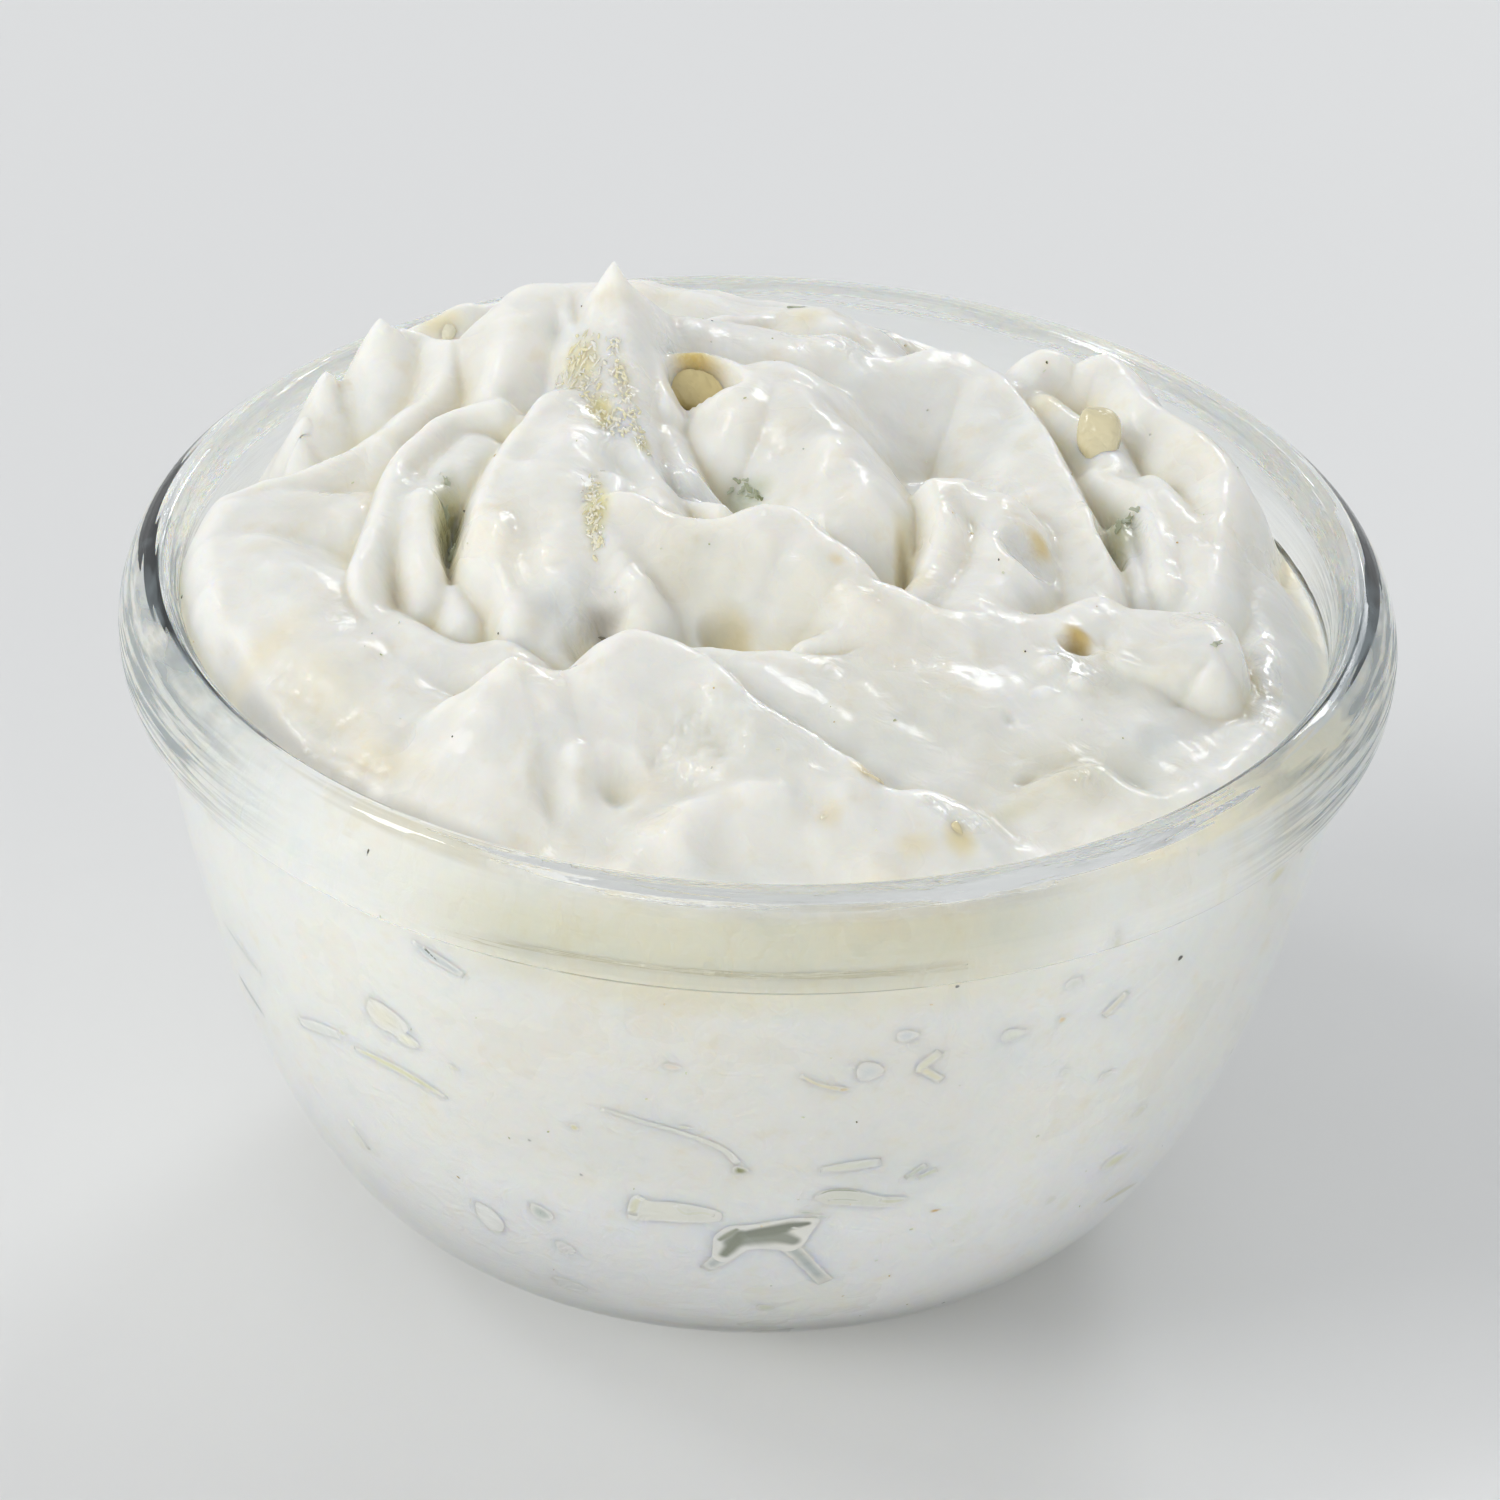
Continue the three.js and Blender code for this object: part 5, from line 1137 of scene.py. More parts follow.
# place x, y; height over the surface; facing; turn; length share; tone
SLIVERS = [
    (-2.7, 5.6, 0.0, (0, -0.6, 0.8), 60, 0.4, DULL_HERB), (-2.1, 5.9, 0.05, (0, -0.6, 0.8), -20, 0.42, MID_HERB),
    (-1.7, 5.1, 0.05, (0.2, -0.6, 0.8), 40, 0.5, DULL_HERB), (-1.2, 4.7, 0.1, (0, -0.6, 0.8), -45, 0.5, MID_HERB),
    (-0.9, 4.1, 0.05, (0, -0.6, 0.8), 15, 0.42, DULL_HERB), (-0.5, 3.7, 0.05, (0, -0.6, 0.8), -60, 0.5, MID_HERB),
    (-0.1, 3.2, 0.0, (0, -0.6, 0.8), -30, 0.35, DARK_HERB), (-1.4, 5.6, 0.0, (0, -0.6, 0.8), 10, 0.35, DULL_HERB),
    (30.4, 10.6, 0.1, (0, -0.6, 0.8), 30, 0.6, DULL_HERB), (31.0, 9.6, 0.2, (0.2, -0.5, 0.8), 50, 0.6, MID_HERB),
    (31.8, 10.4, 0.1, (0, -0.6, 0.8), 5, 0.5, DULL_HERB), (30.2, 8.4, 0.2, (0, -0.6, 0.8), 80, 0.5, MID_HERB),
    (30.6, 9.2, 0.1, (0, -0.6, 0.8), 15, 0.45, DULL_HERB), (29.8, 7.2, 0.1, (0, -0.6, 0.8), 65, 0.4, DULL_HERB),
    (-26.6, -1.2, 0.0, (0.3, -0.6, 0.8), 80, 0.8, MID_HERB), (-26.0, -3.4, 0.0, (0.3, -0.6, 0.8), 60, 0.6, DULL_HERB),
    (-26.6, 2.0, 0.0, (0.3, -0.6, 0.8), 95, 0.5, DULL_HERB), (-25.8, -4.8, 0.0, (0, -0.6, 0.8), 75, 0.6, MID_HERB),
    (-12.8, -15.8, 0.0, (0, -0.6, 0.8), -10, 0.4, (0.2, 0.18, 0.13)),
    (38.0, -12.6, 0.0, (0, -0.5, 0.8), 30, 0.5, DULL_HERB),
    (2.5, 38.5, 0.0, (0, 0.5, 0.8), 20, 0.8, DULL_HERB), (-33, 27.5, 0.0, (-0.4, 0.4, 0.8), 50, 0.7, DULL_HERB),
    (20.5, 38.6, 0.1, (0.2, 0.6, 0.8), -30, 0.9, DARK_HERB),
]
sliver_parts = []
for x, y, lift, direction, turned_by, length, tone in SLIVERS:
    place_on_heap = on_heap(x, y)[0] + [0, 0, lift]
    outline = [(length * u, 0.9 * length * v) for u, v in PEEL_SLIVER]
    points, faces = pebble(outline, 0.35 * length, place_on_heap, facing(direction, turned_by))
    sliver_parts.append((points, faces, np.array(tone)))
bits_piece("peel_on_top", sliver_parts, HERB, 0.9)
print(len(sliver_parts), "slivers")

# %% [markdown]
# ### Bits against the glass
#
# Seen through the wall, bits that touch it are sharp and the ones a little behind it are
# veiled by yoghurt. Each is a thin patch that follows the wall's inner face: its front
# reaches a little further into the glass than the dip does, and its edge dives back under
# the dip's skin. A veiled one takes the dip's own colour at its edge, and its own colour
# only towards its middle. Round bits are an outline with rings inside it. Long ones are a
# section swept along a path, because rings drawn in from a bent outline would cross.


# %% Patches on the inner wall
# rings of a patch: its width there as a share, and how far inside the wall it lies
PATCH_RINGS = [(1.0, 0.08), (0.992, -0.162), (0.989, -0.162), (0.90, -0.163), (0.80, -0.164), (0.66, -0.165),
               (0.5, -0.166), (0.3, -0.167), (0.12, -0.168)]
# section across a streak: share of its half width, and how far inside the wall it lies
STREAK_SECTION = [(-1.0, 0.08), (-0.985, -0.162), (-0.98, -0.162), (-0.8, -0.163), (-0.5, -0.165), (-0.2, -0.166),
                  (0.2, -0.166), (0.5, -0.165), (0.8, -0.163), (0.98, -0.162), (0.985, -0.162), (1.0, 0.08), (0.0, 0.4)]
STEP_ALONG = 0.6
STREAK_ENDS = 0.2
LAYER = 0.005
LEVEL_RISE = 0.93
THIN_BIT_SHARE = [(8, 16, 25), (0.89, 0.93, 0.965)]  # heights, and the share of the dip's tone there


def on_wall(azimuth, height, flat, inset):
    """Points of the wall, given in millimetres across and up from a place on it."""
    angle = math.radians(azimuth) + flat[:, 0] / float(wall_radius(height, 0))
    level = height + LEVEL_RISE * flat[:, 1]
    radius = wall_radius(level, inset)
    return np.column_stack([radius * np.cos(angle), radius * np.sin(angle), level])


def thin_tone(points):
    """The dip's tone for bits without scattering, which look brighter than it low down."""
    return np.interp(points[:, 2], *THIN_BIT_SHARE)[:, None] * wall_tone(points)


def toned(points, faces, core, tone, edge_tone):
    """A patch with its tones: the edge's, or the dip's own, where the core is 0."""
    edge = thin_tone(points) if edge_tone is None else np.array(edge_tone)
    return points, faces, edge + core[:, None] * (np.array(tone) - edge)


def wall_patch(azimuth, height, outline, tone, edge_tone=None, soft=0.5, layer=0):
    """A thin patch: outline in millimetres across and up, at a place on the inner wall."""
    curve = closed_curve(outline)
    centre = curve.mean(0)
    rings = [on_wall(azimuth, height, centre + (curve - centre) * share, inset - layer * LAYER)
             for share, inset in PATCH_RINGS]
    ends = [on_wall(azimuth, height, centre[None], inset)[0] for inset in (0.4, PATCH_RINGS[-1][1] - layer * LAYER)]
    core = np.repeat([ease((1 - share) / soft) for share, inset in PATCH_RINGS], len(curve))
    return toned(*stacked(rings, *ends), np.append(core, [0, 1]), tone, edge_tone)


def streak(azimuth, height, path, widths, tone, soft=0.8, edge_tone=None, layer=0):
    """A long patch along a path, given across and up in millimetres, with half widths."""
    steps = 3 + int(np.ptp(np.array(path, float)[:, 0]) / STEP_ALONG / (len(path) - 1))
    spine = smooth_curve(np.column_stack([path, widths]), steps)
    flat, half = spine[:, :2], spine[:, 2:]
    along = np.gradient(flat, axis=0)
    across = np.stack([-along[:, 1], along[:, 0]], 1) / np.linalg.norm(along, axis=1)[:, None]
    rings = np.stack([on_wall(azimuth, height, flat + half * share * across, inset - layer * LAYER)
                      for share, inset in STREAK_SECTION], 1)
    ends = [on_wall(azimuth, height, flat[k][None], 0.1)[0] for k in (0, -1)]
    reach = np.linspace(0, 1, len(flat))
    core = np.outer(ease(np.minimum(reach, 1 - reach) / STREAK_ENDS),
                    [ease((1 - abs(share)) / soft) for share, inset in STREAK_SECTION])
    return toned(*stacked(list(rings), *ends), np.append(core.ravel(), [0, 0]), tone, edge_tone)


def trail(places, widths, tone, soft=0.8):
    """A long patch through places on the wall, each an azimuth in degrees and a height."""
    azimuth, height = np.mean(places, axis=0)
    radius = float(wall_radius(height, 0))
    path = [(math.radians(a - azimuth) * radius, (h - height) / LEVEL_RISE) for a, h in places]
    return streak(azimuth, height, path, widths, tone, soft)


def dot(azimuth, height, size, tone, soft=0.8):
    """A small roundish patch on the wall."""
    across, up = size if isinstance(size, tuple) else (size, size)
    outline = [(across * math.cos(a) * k, up * math.sin(a) * k)
               for a, k in zip(np.linspace(0, 2 * np.pi, 7)[:-1], (1, 0.85, 1.1, 0.9, 1.05, 0.95))]
    return wall_patch(azimuth, height, outline, tone, soft=soft)


print("wall radius 20 mm up", round(float(wall_radius(20, 0)), 2))

# %% [markdown]
# In front, low on the wall, lies a torn leaf of dill and peel with a stalk and a trailing
# end, between two thin slices of cucumber. Around them are strands, dots and faint streaks,
# each with the tone that its film of yoghurt leaves it. The leaf's body is one patch whose
# strokes are blended into each other, since bits laid over each other would show their rims.

# %% Leaf and slices in front
# strokes of a torn leaf: path across and up, half widths, tone, softness
LEAF_STROKES = [
    ([(-3.0, -1.2), (-2.0, -0.7), (-0.7, -0.3), (0.7, -0.3), (2.0, -0.9)], [1.0, 1.4, 1.6, 1.4, 0.9],
     (0.36, 0.38, 0.335), 0.7),
    ([(-1.5, 0.2), (0.35, 0.8), (1.6, 1.2), (3.0, 1.5)], [0.6, 0.85, 0.85, 0.4], (0.26, 0.28, 0.235), 0.8),
    ([(-3.5, -3.0), (-2.9, -1.8), (-2.3, 0.0)], [0.7, 0.95, 0.85], (0.27, 0.29, 0.225), 0.8),
    ([(-2.0, -0.2), (-0.4, 0.2), (1.2, 0.6)], [0.6, 0.8, 0.7], (0.28, 0.305, 0.25), 0.9),
    ([(-3.9, -0.9), (-3.2, -0.1), (-2.6, 0.6)], [0.35, 0.5, 0.3], (0.36, 0.38, 0.30), 0.8),
    ([(1.9, 0.95), (2.3, 0.8)], [0.2, 0.2], (0.85, 0.86, 0.84), 0.8),
]
# the leaf's stalk and trailing end: path, half widths, tone
LEAF_LEGS = [
    ([(-2.8, -1.8), (-3.6, -3.4), (-5.2, -5.4)], [0.95, 0.85, 0.5], (0.62, 0.66, 0.655)),
    ([(1.2, -0.9), (2.5, -2.8), (3.9, -5.0), (5.5, -7.4)], [1.0, 0.75, 0.7, 0.7], (0.52, 0.565, 0.565)),
]
# outline of the patch that the strokes are blended on
LEAF_FIELD = [(-4.5, -3.6), (-4.5, -2.0), (-4.4, -0.5), (-3.3, 1.0), (-1.8, 1.3), (0.2, 1.9), (2.0, 2.3), (3.8, 2.1),
              (3.7, 1.0), (3.3, -0.2), (3.0, -1.4), (2.0, -2.4), (0.6, -2.2), (-0.8, -2.1), (-2.0, -2.5), (-2.8, -3.7),
              (-3.7, -4.2)]
LEAF_RINGS = 44
LEFT_SLICE = [(-2.7, -1.6), (-2.5, 0.7), (-1.8, 1.7), (-1.0, 1.1), (0.9, 1.3), (3.4, 1.0), (4.9, 0.3), (4.7, -0.8),
              (2.6, -1.3), (0, -1.5), (-1.7, -1.8)]
RIGHT_SLICE = [(-3.8, 0.4), (-3.0, 1.3), (-1.5, 1.3), (0, 0.8), (1.7, -0.1), (3.8, -0.6), (4.2, -1.2), (2.6, -1.7),
               (0.9, -1.4), (-1.3, -0.9), (-3.0, -0.5)]


def stroke_share(places, path, widths, soft):
    """How much of a soft brush stroke lies on places in its plane."""
    spine = smooth_curve(np.column_stack([path, widths]), 8)
    gap = np.linalg.norm(places[:, None, :] - spine[None, :, :2], axis=2) / spine[None, :, 2]
    return ease((1 - gap.min(1)) / soft)


def leaf(azimuth, height, size=1.0, mirrored=1):
    """A torn leaf at a place on the wall: one patch with its strokes blended into each other."""
    curve = closed_curve(LEAF_FIELD, 9)
    shares = [1.0, 0.992, 0.989, *np.linspace(0.97, 0.02, LEAF_RINGS)]
    centre = curve.mean(0)
    flats = [centre + (curve - centre) * share for share in shares] + [np.stack([centre, centre])]
    rings = [on_wall(azimuth, height, flat * size * [mirrored, 1], -0.172) for flat in flats]
    rings[0] = on_wall(azimuth, height, flats[0] * size * [mirrored, 1], 0.08)
    points, faces = stacked(rings[:-1], on_wall(azimuth, height, flats[-1], 0.4)[0], rings[-1][0])
    places, tones = np.vstack(flats), thin_tone(points)
    for path, widths, tone, soft in LEAF_STROKES:
        tones = tones + stroke_share(places, path, widths, soft)[:, None] * (np.array(tone) - tones)
    legs = [streak(azimuth, height, [(mirrored * size * u, size * v) for u, v in path],
                   np.array(widths) * size, tone, 0.9) for path, widths, tone in LEAF_LEGS]
    return legs + [(points, faces, tones)]


front_bits = leaf(274.0, 18.3) + [
    dot(279.8, 20.5, (0.5, 0.3), (0.68, 0.72, 0.68)), dot(277.9, 21.1, (0.7, 0.25), (0.58, 0.62, 0.56)),
    wall_patch(261.6, 20.6, LEFT_SLICE, (0.87, 0.863, 0.79), soft=0.3),
    streak(261.6, 20.6, [(-2.3, -1.2), (-2.0, 0.5), (-1.6, 1.3)], [0.4, 0.5, 0.3], (0.80, 0.78, 0.60), layer=1),
    streak(261.6, 20.6, [(1.2, 0.9), (2.0, -0.1), (3.4, 0.2), (4.4, -0.1)], [0.2, 0.3, 0.3, 0.2], (0.83, 0.83, 0.71),
           layer=1),
    wall_patch(283.8, 22.6, RIGHT_SLICE, (0.79, 0.795, 0.715), soft=0.35),
    streak(283.8, 22.6, [(-3.5, 0.7), (-2.6, 1.2), (-1.3, 1.15), (0.1, 0.7)], [0.1, 0.16, 0.16, 0.08],
           (0.42, 0.44, 0.34), 0.7, layer=1),
    streak(283.8, 22.6, [(-2.6, 0.0), (-1.2, -0.1), (0.2, -0.5)], [0.15, 0.2, 0.12], (0.66, 0.68, 0.58), layer=1),
    streak(283.8, 22.6, [(1.6, -0.7), (2.8, -1.0), (3.8, -1.0)], [0.3, 0.35, 0.2], (0.74, 0.74, 0.60), layer=1),
]
print(len(front_bits), "patches for the leaf and the slices")

# %% Strands, dots and bubbles in front
front_bits += [
    trail([(225.3, 29.2), (229, 29.4), (233.7, 29.1), (237.8, 28.3)], [0.2, 0.4, 0.45, 0.2], (0.80, 0.80, 0.56)),
    trail([(215.7, 27.9), (219.7, 29), (223.3, 29.8)], [0.4, 0.6, 0.4], (0.84, 0.86, 0.82)),
    dot(223.9, 30.3, 0.4, (0.76, 0.76, 0.52)), dot(239.4, 32.2, (0.6, 0.3), (0.84, 0.84, 0.72)),
    trail([(255.7, 31.9), (259.8, 31.2), (265, 30.1), (268.7, 28.6), (270.1, 27.1)], [0.2, 0.25, 0.28, 0.3, 0.35],
          (0.80, 0.81, 0.745)),
    dot(270.4, 26.3, (0.75, 0.6), (0.34, 0.35, 0.18)), dot(264.4, 31.0, (0.6, 0.25), (0.78, 0.79, 0.66)),
    trail([(275.9, 37.5), (278, 36.3), (280.5, 35.7)], [0.2, 0.22, 0.32], (0.78, 0.74, 0.56)),
    dot(280.4, 35.7, (0.6, 0.3), (0.72, 0.62, 0.42)), dot(282.8, 37.6, 1.2, (0.74, 0.77, 0.775), 1.0),
    dot(286.2, 41.2, (1.0, 0.7), (0.74, 0.77, 0.79)),
    trail([(289.9, 38.9), (288.3, 37.6), (287.9, 36.8)], [0.45, 0.5, 0.3], (0.82, 0.82, 0.69)),
    trail([(288.2, 37.2), (290.6, 35.6)], [0.4, 0.35], (0.79, 0.765, 0.60)),
    trail([(288.5, 24.4), (290.6, 25.7)], [0.25, 0.35], (0.66, 0.69, 0.60)),
    trail([(290.0, 24.2), (292.1, 24.9)], [0.25, 0.35], (0.72, 0.74, 0.60)),
    trail([(278.9, 26.3), (282.1, 26.6), (285.4, 26.8)], [0.3, 0.6, 0.5], (0.82, 0.825, 0.72)),
    trail([(236.4, 45.1), (238.3, 44.3), (240.5, 43.7), (242.0, 43.2)], [0.2, 0.6, 0.5, 0.3], (0.66, 0.70, 0.71)),
    trail([(237.6, 44.8), (239.2, 43.9)], [0.3, 0.25], (0.16, 0.18, 0.15), 0.5),
    trail([(198.5, 24.9), (201.5, 24.4), (205.2, 23.6)], [0.5, 0.7, 0.4], (0.42, 0.46, 0.45)),
    trail([(200.3, 31.0), (205.5, 30.4), (209.1, 29.8)], [0.3, 0.5, 0.35], (0.72, 0.75, 0.73)),
    trail([(219.5, 18.8), (221.2, 16.1)], [0.25, 0.3], (0.78, 0.80, 0.79)),
    dot(231.4, 34.9, (2.3, 1.7), (0.89, 0.87, 0.76)), dot(233.8, 33.4, (1.3, 0.8), (0.89, 0.885, 0.74)),
    dot(263.2, 37.8, (0.8, 0.4), (0.84, 0.76, 0.68)), dot(252.7, 29.1, 0.45, (0.72, 0.68, 0.42)),
    dot(317.4, 41.5, 0.34, (0.08, 0.08, 0.07), 0.4), dot(290.6, 46.0, 0.24, (0.2, 0.2, 0.19), 0.5),
    dot(293.2, 19.6, (0.6, 0.28), (0.66, 0.46, 0.20)), dot(303.0, 39.6, 0.45, (0.82, 0.66, 0.42)),
    dot(297.5, 39.3, (1.2, 0.8), (0.86, 0.87, 0.77)), dot(303.5, 43.4, (0.9, 0.7), (0.83, 0.84, 0.78)),
    trail([(308.3, 38.4), (310.8, 40.2)], [0.5, 0.45], (0.84, 0.80, 0.68)),
    dot(306.7, 48.1, (0.5, 0.9), (0.76, 0.77, 0.66)),
    dot(319.4, 23.9, 0.8, (0.86, 0.86, 0.76)), dot(309.9, 16.6, 0.6, (0.87, 0.87, 0.8)),
    dot(274.7, 7.8, (0.8, 0.6), (0.76, 0.78, 0.64)), dot(247.0, 17.3, 1.1, (0.60, 0.65, 0.61)),
    dot(246.9, 17.3, 0.5, (0.30, 0.36, 0.32), 0.6), dot(249.0, 13.2, 0.9, (0.87, 0.85, 0.84)),
    dot(247.3, 26.3, 0.22, (0.45, 0.45, 0.43)), dot(252.9, 23.5, 0.22, (0.4, 0.4, 0.38)),
    dot(305.0, 33.2, 0.5, (0.83, 0.84, 0.78)), dot(311.0, 31.0, (0.8, 0.4), (0.86, 0.86, 0.80)),
    # painted shade: a thin dark olive line under the bead in front, for the dark edge that the rim's glass bends there
    trail([(240, 48.6), (249, 48.95), (262, 49.05), (277, 49.05), (291, 48.9)], [0.03, 0.09, 0.12, 0.14, 0.04],
          (0.50, 0.47, 0.33), 1.0),
    dot(247.0, 7.7, (1.6, 1.0), (0.85, 0.86, 0.86), 0.5), dot(239.1, 14.4, (1.3, 1.9), (0.93, 0.93, 0.905), 0.3),
]
print(len(front_bits), "patches in front")

# %% [markdown]
# Round the back the dip is the same, so patches of the same few kinds are drawn there by
# chance, with a fixed seed: slices, strands, specks of peel and soft dots.

# %% Bits round the back
BACK_FROM, BACK_TO = -42.0, 192.0
WALL_TONES = [(0.87, 0.87, 0.80), (0.80, 0.80, 0.60), (0.84, 0.86, 0.84), (0.78, 0.76, 0.58), (0.88, 0.86, 0.76)]
DARK_WALL_TONES = [(0.34, 0.37, 0.26), (0.52, 0.55, 0.46), (0.62, 0.65, 0.60), (0.40, 0.42, 0.28)]
draw = np.random.default_rng(31)
back_bits = []
for number in range(46):
    azimuth, height = draw.uniform(BACK_FROM, BACK_TO), 9 + 36 * draw.uniform(0, 1) ** 0.9
    tone = np.array(WALL_TONES[draw.integers(len(WALL_TONES))])
    dark = DARK_WALL_TONES[draw.integers(len(DARK_WALL_TONES))]
    size, tilt = draw.uniform(0.7, 1.3), draw.uniform(-0.6, 0.6)
    if number % 6 == 0:
        outline = LEFT_SLICE if number % 12 else RIGHT_SLICE
        outline = [(size * u, size * v + tilt * u * 0.4) for u, v in outline]
        back_bits.append(wall_patch(azimuth, height, outline, tone - 0.03, soft=0.35))
    elif number % 6 < 3:
        path = [(-2.2 * size, -2 * tilt), (-0.4, 0.3), (2.0 * size, 2 * tilt)]
        back_bits.append(streak(azimuth, height, path, [0.2, 0.4 * size, 0.2], tone - 0.02))
    elif number % 6 == 3:
        back_bits.append(dot(azimuth, height, (0.7 * size, 0.45), dark))
    else:
        back_bits.append(dot(azimuth, height, (1.4 * size, 0.9), tone))
back_bits += leaf(70.0, 24.0, 0.8) + leaf(152.0, 18.0, 0.7, -1)
UNDER_GLASS = moist_material("bits_under_glass", 0.0)
wall_bits = bits_piece("bits_on_the_wall", front_bits + back_bits, UNDER_GLASS, 0.2)
print(len(back_bits), "patches round the back;", len(wall_bits.data.polygons), "faces in all")

# %% [markdown]
# ### Flecks
#
# Ground pepper, dill dust and the finest crumbs of cucumber are strewn over all the dip.
# Strewing is work for Geometry Nodes: points are spread by chance over the faces of the
# dip, and a small flattened ball is put on each, in a random size. The nodes' inputs set
# how many there are and how large. The result is turned into a plain mesh, and each ball
# then gets its own tone.

# %% Strew the flecks
FLECKS_PER_SQUARE_METRE = 7500.0
FLECK_RADIUS = 0.17
FLECK_TONES = np.array([(0.10, 0.09, 0.07), (0.66, 0.50, 0.26), (0.52, 0.55, 0.32), (0.74, 0.76, 0.58),
                        (0.80, 0.70, 0.5), (0.82, 0.81, 0.66), (0.60, 0.62, 0.55), (0.80, 0.82, 0.74)])
FLECK_POINTS = 12


def fleck_tree():
    tree = bpy.data.node_groups.new("strewn_flecks", "GeometryNodeTree")
    sockets = tree.interface
    sockets.new_socket("Geometry", in_out="INPUT", socket_type="NodeSocketGeometry")
    for label, kind in (("Density", "NodeSocketFloat"), ("Radius", "NodeSocketFloat"), ("Seed", "NodeSocketInt"),
                        ("Material", "NodeSocketMaterial")):
        sockets.new_socket(label, in_out="INPUT", socket_type=kind)
    sockets.new_socket("Geometry", in_out="OUTPUT", socket_type="NodeSocketGeometry")
    given, result = tree.nodes.new("NodeGroupInput"), tree.nodes.new("NodeGroupOutput")
    spread = tree.nodes.new("GeometryNodeDistributePointsOnFaces")
    ball = tree.nodes.new("GeometryNodeMeshIcoSphere")
    size, turned_by = (tree.nodes.new("FunctionNodeRandomValue") for kind in range(2))
    size.data_type = turned_by.data_type = "FLOAT_VECTOR"
    size.inputs["Min"].default_value, size.inputs["Max"].default_value = (0.5, 0.4, 0.3), (1.5, 0.9, 0.6)
    turned_by.inputs["Max"].default_value = (6.28, 6.28, 6.28)
    place = tree.nodes.new("GeometryNodeInstanceOnPoints")
    real, finish = tree.nodes.new("GeometryNodeRealizeInstances"), tree.nodes.new("GeometryNodeSetMaterial")
    for start, end in (
            (given.outputs["Geometry"], spread.inputs["Mesh"]), (given.outputs["Density"], spread.inputs["Density"]),
            (given.outputs["Seed"], spread.inputs["Seed"]), (given.outputs["Radius"], ball.inputs["Radius"]),
            (spread.outputs["Points"], place.inputs["Points"]), (ball.outputs["Mesh"], place.inputs["Instance"]),
            (size.outputs["Value"], place.inputs["Scale"]), (turned_by.outputs["Value"], place.inputs["Rotation"]),
            (place.outputs["Instances"], real.inputs["Geometry"]),
            (real.outputs["Geometry"], finish.inputs["Geometry"]),
            (given.outputs["Material"], finish.inputs["Material"]),
            (finish.outputs["Geometry"], result.inputs["Geometry"])):
        tree.links.new(start, end)
    return tree


def plain_copy(piece, name):
    """The evaluated piece as a new object with a plain mesh. The old one is removed."""
    bpy.context.view_layer.update()
    seen = piece.evaluated_get(bpy.context.evaluated_depsgraph_get())
    mesh = bpy.data.meshes.new_from_object(seen)
    piece.modifiers.clear()
    bpy.data.objects.remove(piece)
    mesh.name = name
    result = bpy.data.objects.new(name, mesh)
    bpy.context.scene.collection.objects.link(result)
    return result


def strew_flecks():
    carrier = mesh_piece("fleck_carrier", dip_points, dip_faces, HERB)
    flecks = carrier.modifiers.new("flecks", "NODES")
    flecks.node_group = fleck_tree()
    names = {item.name: item.identifier for item in flecks.node_group.interface.items_tree if item.in_out == "INPUT"}
    flecks[names["Density"]] = FLECKS_PER_SQUARE_METRE
    flecks[names["Radius"]] = FLECK_RADIUS * MM
    flecks[names["Seed"]] = 5
    flecks[names["Material"]] = HERB
    return plain_copy(carrier, "flecks")


flecks = strew_flecks()
number_of_points = len(flecks.data.vertices)
pick = np.random.default_rng(8).integers(0, len(FLECK_TONES), number_of_points // FLECK_POINTS + 1)
set_tones(flecks, FLECK_TONES[pick[np.arange(number_of_points) // FLECK_POINTS]], np.full(number_of_points, 0.4))
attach(flecks, "root")
print(number_of_points // FLECK_POINTS, "flecks")

# %% [markdown]
# ## Table and light
#
# A plain pale table and soft light all round, as in a light tent beside a window. The tent's
# walls are brighter than its top, which lights the bowl's sides; a wide window at the left
# gives each fold a lit and a quieter side, and a small one gives wet spots their glints. A
# low strip in front keeps the foot of the bowl from going dark.


# %% Floor, lights and world
TABLE_REACH = 3000.0  # mm each way, so that its edge is out of sight
SKY_STRENGTH = 0.725


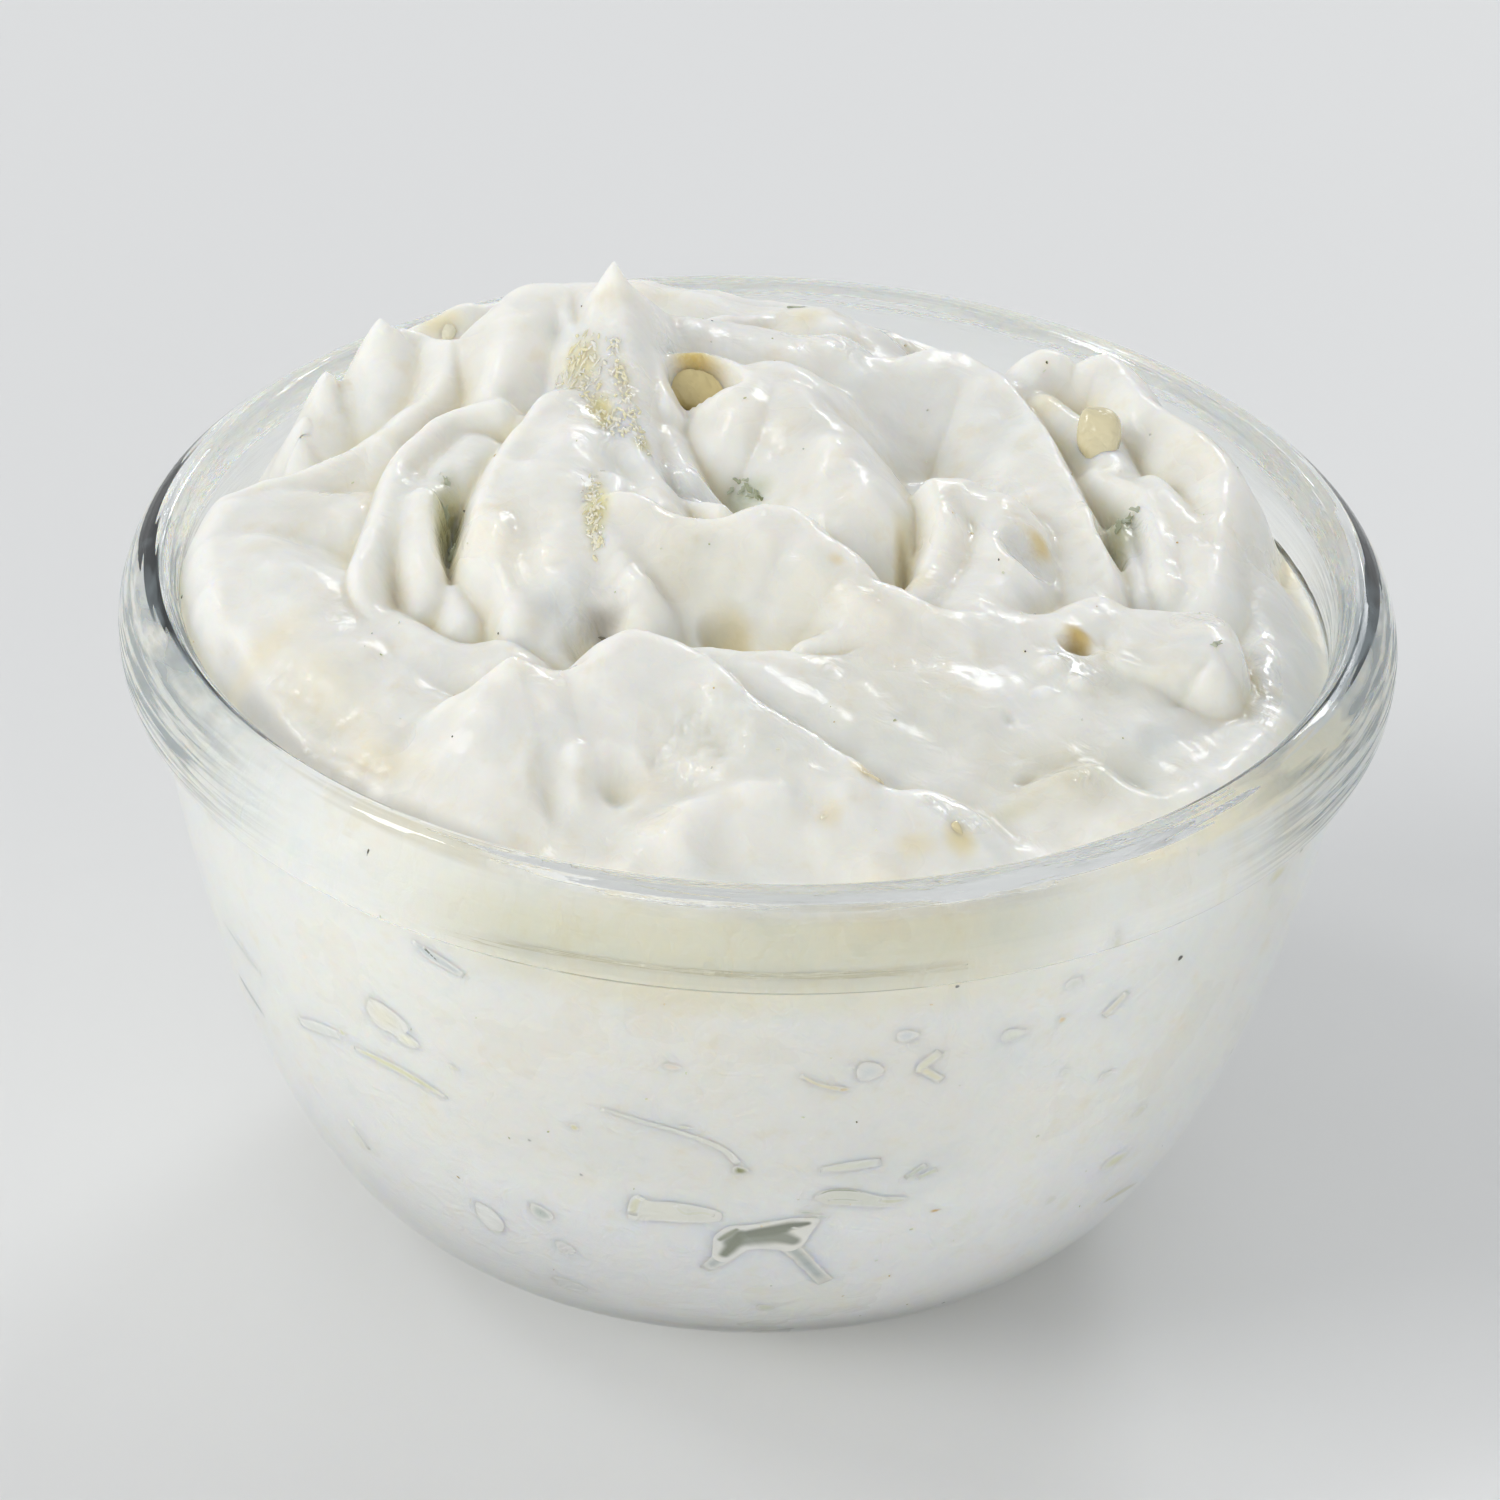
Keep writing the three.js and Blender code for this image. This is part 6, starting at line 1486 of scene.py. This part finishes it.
def pale_floor():
    """The table that the bowl stands on, for the stage only."""
    material, _, shader = new_material("pale_table")
    shader.inputs["Base Color"].default_value = (0.755, 0.76, 0.757, 1)
    shader.inputs["Roughness"].default_value = 0.45
    corners = [(x * TABLE_REACH, y * TABLE_REACH, 0) for x, y in ((-1, -1), (1, -1), (1, 1), (-1, 1))]
    floor = mesh_piece("table", corners, [(0, 1, 2, 3)], material, smooth=False)


def soft_light(name, place, target, size, power, colour=(1, 1, 1), mirrored=False):
    """An area light. Unless it is mirrored, shiny things don't show its image."""
    data = bpy.data.lights.new(name, "AREA")
    data.shape = "RECTANGLE"
    data.size, data.size_y = size
    data.energy = power
    data.color = colour
    lamp = bpy.data.objects.new(name, data)
    lamp.location = place
    lamp.visible_glossy = mirrored
    lamp.rotation_euler = (Vector(target) - Vector(place)).to_track_quat("-Z", "Y").to_euler()
    bpy.context.scene.collection.objects.link(lamp)


pale_floor()
soft_light("window", (-1.35, -0.45, 1.1), (0, 0, 0.04), (0.9, 0.8), 12.0, (1.0, 0.995, 0.98))
soft_light("small_window", (-0.75, 0.15, 1.3), (0, 0, 0.05), (0.26, 0.22), 1.9, mirrored=True)
soft_light("front_fill", (1.3, -1.65, 0.26), (0, 0, 0.025), (1.5, 0.5), 7.4)
soft_light("back_fill", (0.2, 1.7, 0.9), (0, 0, 0.04), (1.6, 1.0), 6.0)
soft_light("back_window", (0.45, 1.25, 0.85), (0, 0, 0.05), (0.34, 0.3), 3.2, (0.94, 0.97, 1.0), mirrored=True)
soft_light("low_fill", (-0.1, -1.15, 0.09), (0, 0, 0.012), (1.1, 0.12), 1.2)
world = bpy.data.worlds.new("studio")
world.use_nodes = True
sky = world.node_tree
direction = add(sky, "ShaderNodeTexCoord").outputs["Generated"]
height_in_sky = add(sky, "ShaderNodeSeparateXYZ")
sky.links.new(direction, height_in_sky.inputs["Vector"])
walls = colour_ramp(sky, height_in_sky.outputs["Z"], [
    (0.0, (0.98, 0.985, 1.0)), (0.35, (0.92, 0.93, 0.95)), (0.7, (0.62, 0.63, 0.65)), (1.0, (0.45, 0.455, 0.47))])
sky.links.new(walls, sky.nodes["Background"].inputs["Color"])
sky.nodes["Background"].inputs["Strength"].default_value = SKY_STRENGTH
bpy.context.scene.world = world
bpy.context.scene.view_settings.view_transform = "Standard"
